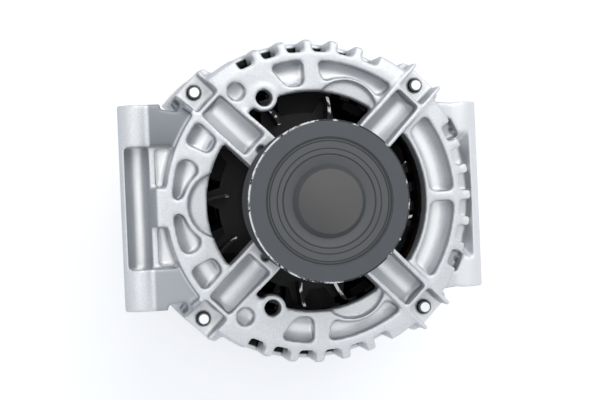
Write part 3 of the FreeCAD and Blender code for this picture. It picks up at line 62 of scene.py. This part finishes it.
camera.matrix_world = Matrix((
    (right.x, up.x, toward.x, stand.x), (right.y, up.y, toward.y, stand.y),
    (right.z, up.z, toward.z, stand.z), (0, 0, 0, 1)))
bpy.context.collection.objects.link(camera)
bpy.context.scene.camera = camera
bpy.context.scene.view_settings.view_transform = "Standard"


# Floor and daylight. The alternator stands on its rear cover on a plain white table, under one
# large soft lamp from behind and a wide pale sky, so its shadow is faint and falls forwards.
class Socket:
    """A shader socket that sums, differences and products can be written with."""

    def __init__(self, finish, socket):
        self.finish = finish
        self.socket = socket

    def sum_with(self, operation, first, second):
        return self.finish.node("ShaderNodeMath", {"operation": operation},
                                {0: first, 1: second})

    def __add__(self, other):
        return self.sum_with("ADD", self, other)

    def __sub__(self, other):
        return self.sum_with("SUBTRACT", self, other)

    def __rsub__(self, other):
        return self.sum_with("SUBTRACT", other, self)

    def __mul__(self, other):
        return self.sum_with("MULTIPLY", self, other)

    __radd__ = __add__
    __rmul__ = __mul__


class Finish:
    """The nodes of a material or a world, with one method that adds any of them."""

    def __init__(self, name, world=None):
        self.material = world or bpy.data.materials.new(name)
        self.material.use_nodes = True
        self.tree = self.material.node_tree
        self.tree.nodes.clear()

    def node(self, kind, settings=None, inputs=None, output=0):
        """Adds a node of a type, with its settings and with values or links for its sockets."""
        added = self.tree.nodes.new(kind)
        for word, value in (settings or {}).items():
            if word == "stops":
                while len(added.color_ramp.elements) < len(value):
                    added.color_ramp.elements.new(1)
                for stop, (place, colour) in zip(added.color_ramp.elements, value):
                    stop.position = place
                    stop.color = (*colour, 1)
            else:
                setattr(added, word, value)
        for place, value in (inputs or {}).items():
            if isinstance(value, Socket):
                self.tree.links.new(value.socket, added.inputs[place])
            elif isinstance(value, tuple) and len(added.inputs[place].default_value) == 4:
                added.inputs[place].default_value = (*value, 1)
            else:
                added.inputs[place].default_value = value
        return Socket(self, added.outputs[output]) if added.outputs else None

    def blend(self, share, first, second):
        """A colour between two others."""
        return self.node("ShaderNodeMix", {"data_type": "RGBA"},
                         {"Factor": share, "A": first, "B": second}, "Result")

    def place(self):
        """Where a point of the surface is, in metres."""
        return self.node("ShaderNodeTexCoord", output="Object")

    def along(self, axis):
        """How far along an axis a point lies."""
        return self.node("ShaderNodeSeparateXYZ", inputs={0: self.place()}, output=axis)

    def from_shaft(self):
        """The distance from the shaft's axis."""
        flat = self.node("ShaderNodeVectorMath", {"operation": "MULTIPLY"},
                         {0: self.place(), 1: (1, 1, 0)})
        return self.node("ShaderNodeVectorMath", {"operation": "LENGTH"}, {0: flat}, "Value")

    def grain(self, per_metre, detail=4, roughness=0.55, stretch=None):
        """Random mottling, from 0 to 1, about 0.5."""
        at = self.place()
        if stretch:
            at = self.node("ShaderNodeVectorMath", {"operation": "MULTIPLY"},
                           {0: at, 1: stretch})
        return self.node("ShaderNodeTexNoise", None, {
            "Vector": at, "Scale": per_metre, "Detail": detail, "Roughness": roughness})

    def ramp(self, value, *stops):
        """Softly changes a number into another, through stops of (number, result)."""
        return self.node("ShaderNodeValToRGB", {"stops": [
            (place, (shade,) * 3) for place, shade in stops]}, {"Fac": value})

    def rise(self, value, low, high):
        """0 at the first number and 1 at the second, in a straight line between them."""
        return self.node("ShaderNodeMapRange", None,
                         {"Value": value, "From Min": low, "From Max": high})

    def where(self, *limits):
        """1 where every value has reached its second number, 0 where one is short of its first."""
        mask, *others = [self.rise(*limit) for limit in limits]
        for other in others:
            mask = mask * other
        return mask

    def unsigned(self, value):
        """A number without its sign."""
        return self.node("ShaderNodeMath", {"operation": "ABSOLUTE"}, {0: value})

    def relief(self, height, depth, strength=1.0):
        """Bumps of a height from 0 to 1, at a depth in metres."""
        return self.node("ShaderNodeBump", None,
                         {"Strength": strength, "Distance": depth, "Height": height}, "Normal")

    def surface(self, **sockets):
        """Ends the material in a shader with these sockets, named with _ for each space."""
        names = {word.replace("_", " "): value for word, value in sockets.items()}
        shader = self.node("ShaderNodeBsdfPrincipled", None, names, "BSDF")
        self.node("ShaderNodeOutputMaterial", None, {"Surface": shader})
        return self.material


def seen(finish):
    """1 where the camera, a mirror or glass looks straight at the surface."""
    looks = [finish.node("ShaderNodeLightPath", output=word)
             for word in ("Is Camera Ray", "Is Glossy Ray", "Is Transmission Ray")]
    return finish.node("ShaderNodeMath", {"operation": "ADD", "use_clamp": True},
                       {0: looks[0], 1: looks[1] + looks[2]})


world = bpy.data.worlds.new("daylight")
bpy.context.scene.world = world
sky = Finish("daylight", world)
sky_colour = sky.blend(seen(sky), (0.52, 0.55, 0.60), (1.0, 1.0, 1.0))
background = sky.node("ShaderNodeBackground", None, {"Color": sky_colour})
sky.node("ShaderNodeOutputWorld", None, {"Surface": background})

table_finish = Finish("white_table")
glow = table_finish.blend(seen(table_finish), (0.0, 0.0, 0.0), (0.50, 0.50, 0.50))
table_finish.surface(Base_Color=(0.80, 0.80, 0.81), Roughness=0.9, Emission_Color=glow,
                     Emission_Strength=1.0)
table_half, table_top = 3.0, -0.0002
table_mesh = bpy.data.meshes.new("table")
table_mesh.from_pydata([(table_half * across, table_half * along, table_top)
                        for across, along in ((-1, -1), (1, -1), (1, 1), (-1, 1))],
                       [], [(0, 1, 2, 3)])
table_mesh.materials.append(table_finish.material)
table = bpy.data.objects.new("table", table_mesh)
bpy.context.collection.objects.link(table)

for name, spot, size, power in (("window", (0.25, 0.75, 1.15), 0.9, 5.0),
                                ("ceiling", (-0.5, 0.1, 1.3), 0.6, 1.2)):
    lamp = bpy.data.lights.new(name, "AREA")
    lamp.shape = "SQUARE"
    lamp.size = size
    lamp.energy = power
    lamp_object = bpy.data.objects.new(name, lamp)
    lamp_object.location = spot
    lamp_object.rotation_euler = (aim - Vector(spot)).to_track_quat("-Z", "Y").to_euler()
    bpy.context.collection.objects.link(lamp_object)


# Drive-end bracket. Pressure-cast aluminium, blasted to a soft pale grain. Its edges are round and
# its troughs and pockets have round floors, as they leave the die, so a remeshed skin with raised
# floor sides stands for the solid.
mm = 0.001
trough_half, trough_end, trough_floor = 0.0061, 0.0578, 0.1206
spoke_half = 0.0078
pocket_inner, pocket_middle, pocket_outer, pocket_floor = 0.0493, 0.0526, 0.0582, 0.1215
thumb_x, thumb_y, thumb_radius = -0.0304, 0.0459, 0.0038
ring_edge = 0.062
pad_level = 0.115
tube_middle, tube_edge, opening_half, lug_root = -0.0718, -0.0664, 0.0245, -0.046
right_root, well_top, slot_front, slot_back = 0.0625, 0.120, 0.104, 0.0656
end_curve, dim_from, dim_to = 45.0, 0.026, 0.042
# The first colour is the grey of painted shade, also used for the dark of the grain; the second is
# the white of painted highlights in beds; the third is the pale of painted highlights on edges and
# in the left lug's bed.
shade_and_grain_grey, painted_highlight_white, painted_highlight_pale = (0.42, 0.44, 0.46), (0.97, 0.975, 0.98), (0.92, 0.93, 0.94)


def cast_aluminium(name, bright, dark, recess_shade, marks=()):
    """Bright on open flats, with painted shade on steep walls and in corners, a blasted grain, and
    any marks laid on top.
    """
    finish = Finish(name)
    cloud = finish.grain(34, 3)
    fine = finish.grain(1500, 6, 0.7)
    pits = finish.grain(520, 3, 0.5)
    # Painted shade: ambient occlusion darkens corners and recesses towards the recess shade colour.
    open_air = finish.node("ShaderNodeAmbientOcclusion", {"samples": 6},
                           {"Distance": 0.006}, "AO")
    unshaded = finish.ramp(open_air, (0.12, 0.0), (0.72, 1.0))
    # Painted shade: the steeper a wall stands, the darker it is painted, as less light falls on it.
    facing = finish.node("ShaderNodeSeparateXYZ", None, {
        0: finish.node("ShaderNodeNewGeometry", output="Normal")}, 2)
    drawn = finish.ramp(facing, (0.25, 1.0), (0.85, 0.0))
    cool, warm = (tuple(c * t for c, t in zip(bright, turn))
                  for turn in ((0.97, 1.0, 1.03), (1.02, 0.99, 0.99)))
    tint = finish.blend(finish.grain(22, 2), cool, warm)
    tone = finish.blend(cloud, tint, tuple(0.90 * c for c in bright))
    tone = finish.blend(drawn * 0.55, tone, dark)
    tone = finish.blend(finish.ramp(fine, (0.35, 0.35), (0.6, 0.0)), tone, dark)
    tone = finish.blend(unshaded, recess_shade, tone)
    for mark in marks:
        tone = mark(finish, tone)
    bumps = finish.relief(fine * 0.6 + pits * 0.8, 0.00005)
    rough = finish.ramp(finish.grain(120, 3), (0.3, 0.40), (0.7, 0.52))
    finish.surface(Base_Color=tone, Metallic=0.62, Roughness=rough, Normal=bumps)
    return finish.material


def by_spoke(finish):
    """How far out along the spokes' lines a point lies, and how far off the nearest of them."""
    wide, tall = finish.unsigned(finish.along("X")), finish.unsigned(finish.along("Y"))
    return (wide + tall) * math.sqrt(0.5), finish.unsigned(wide - tall) * math.sqrt(0.5)


def off_thumb(finish):
    """How far a point lies from the middle of the nearest thumb hollow, along X and Y added up."""
    tall = finish.unsigned(finish.along("Y"))
    return finish.unsigned(tall - thumb_y) + finish.unsigned(finish.along("X") - thumb_x)


def trough_marks(finish, tone):
    """Painted shade on the sides and round end of each spoke's trough, and a painted highlight down
    its bed.
    """
    out, off = by_spoke(finish)
    x, tall = finish.along("X"), finish.unsigned(finish.along("Y"))
    side = finish.rise(x, -1 * mm, 1 * mm) * 2.0 - 1.0
    lean = (finish.unsigned(x) - tall) * side * math.sqrt(0.5)
    trough = finish.where((off, trough_half + 0.3 * mm, trough_half - 0.1 * mm),
                          (out, trough_end + 0.8 * mm, trough_end),
                          (finish.along("Z"), trough_floor + 2.6 * mm, trough_floor + 0.6 * mm))
    sides = finish.rise(lean, 0.0, -2.2 * mm) + finish.rise(lean, 1.4 * mm, 4.4 * mm)
    round_end = finish.rise(out + off * off * end_curve,
                            trough_end - 2.4 * mm, trough_end - 1.6 * mm)
    shaded = finish.blend(trough * (sides + round_end * 0.9), tone, shade_and_grain_grey)
    bed = trough * finish.where((off, 2.0 * mm, 0.4 * mm),
                                (out, trough_end - 2.2 * mm, trough_end - 3.4 * mm))
    return finish.blend(bed * 0.75, shaded, painted_highlight_white)


def pocket_marks(finish, tone):
    """Painted shade, deep on the outer side and light on the inner side of the ring's pockets, and
    a painted highlight in their beds, but not in the thumb hollows.
    """
    ring = finish.from_shaft()
    pocket = finish.where(
        (by_spoke(finish)[1], spoke_half - 0.8 * mm, spoke_half),
        (finish.along("Z"), pocket_floor + 2.1 * mm, pocket_floor + 0.7 * mm),
        (ring, pocket_inner - 4.3 * mm, pocket_inner + 0.3 * mm),
        (ring, pocket_outer + 0.6 * mm, pocket_outer),
        (off_thumb(finish), thumb_radius + 0.2 * mm, thumb_radius + 1.2 * mm))
    outer = finish.rise(ring, pocket_outer - 4.7 * mm, pocket_outer - 0.2 * mm) * 0.75
    inner = finish.rise(ring, pocket_inner + 1.7 * mm, pocket_inner - 1.3 * mm) * 0.35
    bed = pocket * finish.where((ring, pocket_middle - 2.4 * mm, pocket_middle - 1.0 * mm),
                                (ring, pocket_middle + 2.2 * mm, pocket_middle + 0.6 * mm))
    shaded = finish.blend(pocket * (outer + inner), tone, shade_and_grain_grey)
    return finish.blend(bed * 0.75, shaded, painted_highlight_white)


def lug_marks(finish, tone):
    """Painted shade on the left side and a painted highlight down the bed of the left lug's trough.
    """
    x, tall = finish.along("X"), finish.unsigned(finish.along("Y"))
    opening = finish.rise(tall, opening_half + 0.3 * mm, opening_half - 0.3 * mm)
    wall = opening * finish.where((x, tube_middle - 5.2 * mm, tube_middle - 4.8 * mm),
                                  (x, tube_middle - 0.6 * mm, tube_middle - 1.6 * mm))
    bed = opening * finish.where((x, tube_middle - 0.6 * mm, tube_middle + 0.4 * mm),
                                 (x, tube_middle + 3.0 * mm, tube_middle + 2.0 * mm))
    return finish.blend(bed * 0.8, finish.blend(wall, tone, shade_and_grain_grey), painted_highlight_pale)


def edge_highlights(finish, tone):
    """Painted highlights on the casting's edges, brighter where the mesh is pointier."""
    corner = finish.node("ShaderNodeNewGeometry", output="Pointiness")
    return finish.blend(finish.rise(corner, 0.53, 0.60) * 0.5, tone, painted_highlight_pale)


def web_marks(finish, tone):
    """Shade on the webs behind the left lug, deepest low on the upper one."""
    x, y = finish.along("X"), finish.along("Y")
    web = finish.where((x, tube_edge - 0.5 * mm, tube_edge + 0.5 * mm),
                       (x, lug_root + 2 * mm, lug_root - 2 * mm),
                       (finish.from_shaft(), ring_edge - 0.4 * mm, ring_edge + 0.4 * mm),
                       (finish.unsigned(y), opening_half - 0.1 * mm, opening_half + 0.9 * mm))
    upper = finish.blend(finish.rise(y, dim_from, dim_to), (0.165, 0.18, 0.195), (0.26, 0.28, 0.30))
    both = finish.blend(finish.rise(y, 5 * mm, -5 * mm), upper, (0.37, 0.395, 0.42))
    return finish.blend(web * 0.95, tone, both)


def painted_light_marks(finish, tone):
    """Painted light: the bolt pads and right lug brightened, and the wells and thumb hollows
    lightened out of their shade.
    """
    x, z, ring = finish.along("X"), finish.along("Z"), finish.from_shaft()
    out, off = by_spoke(finish)
    pad = finish.where((out, trough_end + 0.8 * mm, trough_end + 1.6 * mm),
                       (off, trough_half + 0.5 * mm, trough_half - 0.1 * mm),
                       (z, pad_level + 1.6 * mm, pad_level + 0.6 * mm),
                       (z, pad_level - 1.2 * mm, pad_level - 0.6 * mm))
    right_lug = finish.rise(x, right_root - 1 * mm, right_root + 1 * mm)
    tone = finish.blend(pad * 0.7 + right_lug * 0.55, tone, (0.87, 0.88, 0.89))
    well = finish.where((x, tube_edge + 0.4 * mm, tube_edge + 1.4 * mm),
                        (x, lug_root, lug_root - 2 * mm), (z, well_top, well_top - 1.5 * mm),
                        (finish.unsigned(finish.along("Y")), opening_half + 0.7 * mm,
                         opening_half + 0.1 * mm),
                        (ring, ring_edge - 0.4 * mm, ring_edge + 0.4 * mm))
    hollow = finish.rise(off_thumb(finish), thumb_radius + 1.0 * mm, thumb_radius - 0.2 * mm)
    return finish.blend(well + hollow * 0.7, tone, (0.95, 0.955, 0.96))


def slot_marks(finish, tone):
    """Painted shade: black in the depth of the air slots."""
    slot = finish.where((finish.along("Z"), slot_front, slot_front - 2 * mm),
                        (finish.from_shaft(), slot_back, slot_back - 0.6 * mm))
    return finish.blend(slot, tone, (0.008, 0.008, 0.009))


casting_metal = cast_aluminium(
    "cast_aluminium", (0.78, 0.795, 0.81), shade_and_grain_grey, (0.16, 0.17, 0.19),
    (trough_marks, pocket_marks, lug_marks, edge_highlights, web_marks, painted_light_marks, slot_marks))


def settle(piece):
    """Replaces a piece's mesh with what its modifiers make of it."""
    bpy.context.view_layer.update()
    drawn = piece.evaluated_get(bpy.context.evaluated_depsgraph_get())
    mesh = bpy.data.meshes.new_from_object(drawn)
    piece.modifiers.clear()
    piece.data = mesh
    return mesh


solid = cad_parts["drive_end_bracket"]
casting = bpy.data.objects.new("drive_end_casting", solid.data.copy())
bpy.context.collection.objects.link(casting)
skin = casting.modifiers.new("skin", "REMESH")
skin.mode = "VOXEL"
skin.voxel_size = 0.0007
skin.use_smooth_shade = True
shape = settle(casting)
spoke_root = 0.034
lowest_floor = 0.120
floor_reach = 0.003
trough_rise, pocket_rise = 52, 65
for corner in shape.vertices:
    x, y, z = corner.co
    out = (abs(x) + abs(y)) * math.sqrt(0.5)
    off = abs(abs(x) - abs(y)) * math.sqrt(0.5)
    ring = math.hypot(x, y)
    floor = 0.0
    if off < trough_half + 0.1 * mm and spoke_root < out < trough_end + 0.2 * mm:
        floor = trough_floor + trough_rise * off ** 2
    elif off > spoke_half and pocket_inner - 0.8 * mm < ring < pocket_outer + 0.8 * mm:
        floor = pocket_floor + pocket_rise * (ring - pocket_middle) ** 2
    if floor - floor_reach < z < floor and z > lowest_floor:
        corner.co.z = floor
soften = casting.modifiers.new("soften", "SMOOTH")
soften.factor = 0.5
soften.iterations = 6
thin = casting.modifiers.new("thin", "DECIMATE")
thin.ratio = 0.35
shape = settle(casting)
shape.materials.clear()
shape.materials.append(casting_metal)
for face in shape.polygons:
    face.use_smooth = True
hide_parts("drive_end_bracket")
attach(casting, "housing")


# Slip-ring-end bracket. The rear casting of the same alloy, left plainer, with turned seats for
# its bearing and for the stator, which the through bolts clamp between the two brackets.
def dress(node, material):
    """Gives a piece of the frame its finish."""
    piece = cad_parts[node]
    piece.data.materials.clear()
    piece.data.materials.append(material)


# Its finish has the same painted shade on steep walls and in corners, without the marks.
dress("slip_ring_end_bracket", cast_aluminium(
    "cast_aluminium_rear", (0.74, 0.75, 0.77), (0.40, 0.41, 0.43), (0.15, 0.155, 0.17)))


# Screws and bolts. Steel, headed and rolled, with a thin bright zinc plating that dulls in
# patches. The through bolts' ends show at the four corners of the bracket.
def plated_steel(name, colour, thread=None):
    """Dulled in patches; a thread, from one height to another, is dark and its tip bright."""
    finish = Finish(name)
    patches = finish.grain(420, 4, 0.6)
    tone = finish.blend(finish.ramp(patches, (0.35, 0.0), (0.7, 1.0)), colour,
                        tuple(0.8 * c for c in colour))
    if thread:
        z = finish.along("Z")
        start, end = thread
        soft = 0.2 * mm
        # A band below the tip is painted darker and the tip above it brighter.
        dark_band = finish.where((z, start, start + soft), (z, end + soft, end))
        tone = finish.blend(dark_band, tone, (0.12, 0.13, 0.14))
        tone = finish.blend(finish.rise(z, end, end + soft), tone, (0.88, 0.89, 0.90))
    rough = finish.ramp(patches, (0.3, 0.25), (0.75, 0.42))
    finish.surface(Base_Color=tone, Metallic=1.0, Roughness=rough,
                   Normal=finish.relief(patches, 0.00004, 0.4))
    return finish.material


zinc = plated_steel("zinc_steel", (0.58, 0.59, 0.61))
dress("through_bolts", plated_steel("bolt_steel", (0.46, 0.47, 0.49), (0.112, 0.1176)))
for fastener in ("cover_screws", "regulator_screws", "rectifier_screws",
                 "retainer_screws", "battery_stud", "battery_stud_nut", "bearing_retainer"):
    dress(fastener, zinc)


# Stator. Some seventy sheets of electrical steel, stamped, stacked and varnished, which leave
# fine rings round the outside; the copper bars in its slots are enamelled and dipped in resin.
sheets = Finish("lamination_steel")
layers = sheets.grain(1.0, 2, 0.5, (2, 2, 2600))
rust = sheets.ramp(sheets.grain(70, 4, 0.6), (0.5, 0.0), (0.75, 1.0))
sheets.surface(Base_Color=sheets.blend(rust, (0.085, 0.088, 0.095), (0.12, 0.085, 0.06)),
               Metallic=0.6, Roughness=sheets.ramp(layers, (0.3, 0.38), (0.7, 0.6)),
               Normal=sheets.relief(layers, 0.00012, 0.8))
dress("stator_core", sheets.material)

copper = Finish("copper_enamel")
turns = copper.grain(1.0, 3, 0.6, (260, 260, 420))
# Painted shade: the copper is laid over almost wholly with near-black, for the dark inside of the
# housing.
copper_shade = copper.ramp(copper.grain(30, 2), (0.42, 0.93), (0.60, 1.0))
bare_turns = copper.blend(turns, (0.30, 0.10, 0.035), (0.13, 0.05, 0.022))
copper.surface(Base_Color=copper.blend(copper_shade, bare_turns, (0.012, 0.010, 0.009)),
               Metallic=0.55, Roughness=copper.ramp(turns, (0.3, 0.3), (0.7, 0.55)),
               Normal=copper.relief(turns, 0.0006, 0.7))
for coil in ("stator_winding", "field_coil"):
    dress(coil, copper.material)


# Rotor. Two forged claw poles in dark primer clamp a plastic bobbin of copper wire on a ground
# steel shaft, which shows only at its ends and between the poles.
primer_and_shade = Finish("pole_steel")
scale = primer_and_shade.grain(160, 5, 0.6)
# The near-black is partly the poles' own dark coat and partly painted shade for the dark inside of
# the housing.
primer_and_shade.surface(Base_Color=primer_and_shade.blend(scale, (0.010, 0.010, 0.011), (0.020, 0.020, 0.020)),
               Metallic=0.0, Specular_IOR_Level=0.12,
               Roughness=primer_and_shade.ramp(scale, (0.3, 0.42), (0.7, 0.62)),
               Normal=primer_and_shade.relief(scale, 0.0002, 0.5))
for pole in ("rear_claw_pole", "front_claw_pole"):
    dress(pole, primer_and_shade.material)

ground = Finish("bearing_steel")
lines = ground.grain(1.0, 2, 0.5, (40, 40, 5200))
ground.surface(Base_Color=ground.blend(lines, (0.66, 0.67, 0.69), (0.55, 0.56, 0.58)),
               Metallic=1.0, Roughness=ground.ramp(lines, (0.3, 0.16), (0.7, 0.30)))
for turned in ("rotor_shaft", "spacer_collar", "front_bearing_outer_ring",
               "front_bearing_inner_ring", "front_bearing_balls", "rear_bearing_outer_ring",
               "rear_bearing_inner_ring", "rear_bearing_balls", "pulley_hub", "clutch_rollers",
               "front_support_rollers", "rear_support_rollers"):
    dress(turned, ground.material)


# Fans. Stamped from black coated sheet steel and bent up into blades, whose sheared edges stay
# bare and glint in the air windows.
fan_coat_and_shade = Finish("fan_steel")
sheared = 0.11545
edge = fan_coat_and_shade.rise(fan_coat_and_shade.along("Z"), sheared, sheared + 0.12 * mm)
edge = edge * fan_coat_and_shade.ramp(fan_coat_and_shade.grain(230, 2), (0.50, 0.0), (0.56, 1.0))
speck = fan_coat_and_shade.grain(900, 4, 0.6)
# The near-black coat is partly the fans' own black and partly painted shade for the dark inside of
# the housing.
fan_coat_and_shade.surface(
    Base_Color=fan_coat_and_shade.blend(edge, fan_coat_and_shade.blend(speck, (0.007, 0.007, 0.008),
                                                   (0.014, 0.014, 0.014)), (0.60, 0.61, 0.62)),
    Metallic=edge, Roughness=0.42, Specular_IOR_Level=0.25,
    Normal=fan_coat_and_shade.relief(speck, 0.00005, 0.4))
for fan in ("front_fan", "rear_fan"):
    dress(fan, fan_coat_and_shade.material)


# Insulating parts. Grey-brown moulded plastic: the bobbin, the bearing sleeve, the slip rings'
# sleeve, the rectifier's insulator and the clutch's roller cage.
def moulded(name, colour, grain_size, roughness, depth=0.00005):
    """Cloudy plastic with an etched grain, so many specks a metre."""
    finish = Finish(name)
    speck = finish.grain(grain_size, 5, 0.6)
    cloud = finish.grain(60, 3)
    tone = finish.blend(cloud, colour, tuple(0.8 * c for c in colour))
    finish.surface(Base_Color=tone, Roughness=finish.ramp(
        speck, (0.3, roughness - 0.08), (0.7, roughness + 0.08)),
        Normal=finish.relief(speck, depth, 0.5))
    return finish.material


grey_plastic = moulded("grey_plastic", (0.16, 0.15, 0.14), 1500, 0.5)
for insulator in ("coil_bobbin", "rear_bearing_sleeve", "slip_ring_sleeve",
                  "rectifier_insulator", "clutch_cage"):
    dress(insulator, grey_plastic)


# Slip rings and brushes. Turned copper rings with a polished track, and blocks of pressed
# carbon that steel springs push onto them.
track = Finish("ring_copper")
worn = track.grain(1.0, 2, 0.5, (60, 60, 3800))
track.surface(Base_Color=track.blend(worn, (0.72, 0.36, 0.20), (0.42, 0.20, 0.11)), Metallic=1.0,
              Roughness=track.ramp(worn, (0.3, 0.18), (0.7, 0.35)))
for ring in ("rear_slip_ring", "front_slip_ring"):
    dress(ring, track.material)

carbon = moulded("carbon", (0.035, 0.034, 0.034), 2600, 0.62, 0.0001)
for brush in ("rear_brush", "front_brush"):
    dress(brush, carbon)

wire = plated_steel("spring_steel", (0.42, 0.42, 0.42))
for brush in ("rear_brush", "front_brush"):
    dress(f"{brush}_spring", wire)
    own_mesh(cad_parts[f"{brush}_spring"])


# Regulator and brush holder. Black glass-filled plastic from one mould each, matt with a fine
# grain, and the plug's three tinned copper blades.
black_plastic = moulded("black_plastic", (0.028, 0.028, 0.030), 1800, 0.48)
for housing in ("brush_holder", "regulator"):
    dress(housing, black_plastic)

tin = plated_steel("tinned_copper", (0.72, 0.70, 0.66))
for contact in ("connector_pins", "negative_diodes", "positive_diodes"):
    dress(contact, tin)


# Rectifier plates. Pressed aluminium that carries the six diodes and spreads their heat, screwed
# to the rear bracket over an insulator.
plate = Finish("plate_aluminium")
rolled = plate.grain(1.0, 3, 0.5, (30, 900, 30))
plate.surface(Base_Color=plate.blend(rolled, (0.68, 0.69, 0.70), (0.58, 0.59, 0.60)),
              Metallic=1.0, Roughness=plate.ramp(rolled, (0.3, 0.32), (0.7, 0.44)),
              Normal=plate.relief(rolled, 0.00002, 0.5))
for side in ("rectifier_negative_plate", "rectifier_positive_plate"):
    dress(side, plate.material)


# Rear cover. A thin black moulding with a coarser spark-etched grain, held over the rectifier and
# the regulator by three screws.
dress("rear_cover", moulded("cover_plastic", (0.025, 0.025, 0.027), 1300, 0.55, 0.00012))


# Pulley. A turned steel rim in slate-grey coating that has chipped to bright metal along its
# front edge, with a grey dust cap of turned rings round a low dome.
rim_coat = Finish("pulley_paint")
flange_radius, flange_front = 0.0320, 0.1624
corner = rim_coat.rise(rim_coat.from_shaft(), flange_radius - 0.82 * mm, flange_radius - 0.48 * mm)
front = rim_coat.rise(rim_coat.along("Z"), flange_front - 0.5 * mm, flange_front)
near_side = rim_coat.rise(rim_coat.along("X"), 6 * mm, -14 * mm)
chip = rim_coat.rise(rim_coat.grain(260, 6, 0.75) + near_side * 0.14, 0.56, 0.60)
bare = corner * front * chip
dust = rim_coat.grain(90, 5, 0.65)
speck = rim_coat.grain(1600, 4, 0.6)
coat = rim_coat.blend(dust, (0.070, 0.078, 0.086), (0.090, 0.098, 0.106))
# Painted shade: the coat is darker on the steep flanks, which are also made rougher.
facing = rim_coat.node("ShaderNodeSeparateXYZ", None, {
    0: rim_coat.node("ShaderNodeNewGeometry", output="Normal")}, 2)
shaded_flank = rim_coat.rise(facing, 0.95, 0.80)
coat = rim_coat.blend(shaded_flank, coat, (0.030, 0.032, 0.035))
rim_coat.surface(Base_Color=rim_coat.blend(bare, coat, (0.80, 0.80, 0.82)), Metallic=bare,
                 Roughness=rim_coat.ramp(speck, (0.3, 0.42), (0.7, 0.56)) + shaded_flank * 0.45,
                 Normal=rim_coat.relief(speck - bare, 0.00006, 0.5))
dress("pulley_rim", rim_coat.material)

cap_skin = Finish("cap_plastic")
radius = cap_skin.from_shaft()
turned_lines = ((24.6 * mm, 0.35 * mm), (23.6 * mm, 0.25 * mm), (20.6 * mm, 0.22 * mm),
                (18.3 * mm, 0.30 * mm))
dome_radius = 0.0126
groove_depth_and_shade = 0.0
for line_radius, width in turned_lines:
    groove_depth_and_shade = groove_depth_and_shade + cap_skin.rise(cap_skin.unsigned(radius - line_radius),
                                            width * 1.5, width * 0.6)
smear = cap_skin.grain(45, 5, 0.65)
dome = cap_skin.rise(radius, dome_radius + 0.2 * mm, dome_radius - 0.2 * mm)
flat_tone = cap_skin.blend(smear, (0.078, 0.083, 0.088), (0.110, 0.112, 0.114))
dome_tone = cap_skin.blend(smear, (0.085, 0.082, 0.080), (0.125, 0.120, 0.115))
tone = cap_skin.blend(dome, flat_tone, dome_tone)
# Painted shade: the dome darker towards its lower left.
low_left_shade = cap_skin.rise(cap_skin.along("X") + cap_skin.along("Y"), 4 * mm, -20 * mm)
tone = cap_skin.blend(dome * low_left_shade * 0.7, tone, (0.040, 0.042, 0.045))
# Painted shade: the turned grooves are near-black.
tone = cap_skin.blend(groove_depth_and_shade, tone, (0.012, 0.013, 0.015))
cap_skin.surface(Base_Color=tone, Roughness=cap_skin.ramp(smear, (0.3, 0.36), (0.7, 0.5)),
                 Normal=cap_skin.relief(cap_skin.grain(1900, 4) - 3.0 * groove_depth_and_shade, 0.0001, 0.5))
dress("pulley_dust_cap", cap_skin.material)
dress("pulley_seal", moulded("seal_rubber", (0.03, 0.03, 0.03), 900, 0.7))
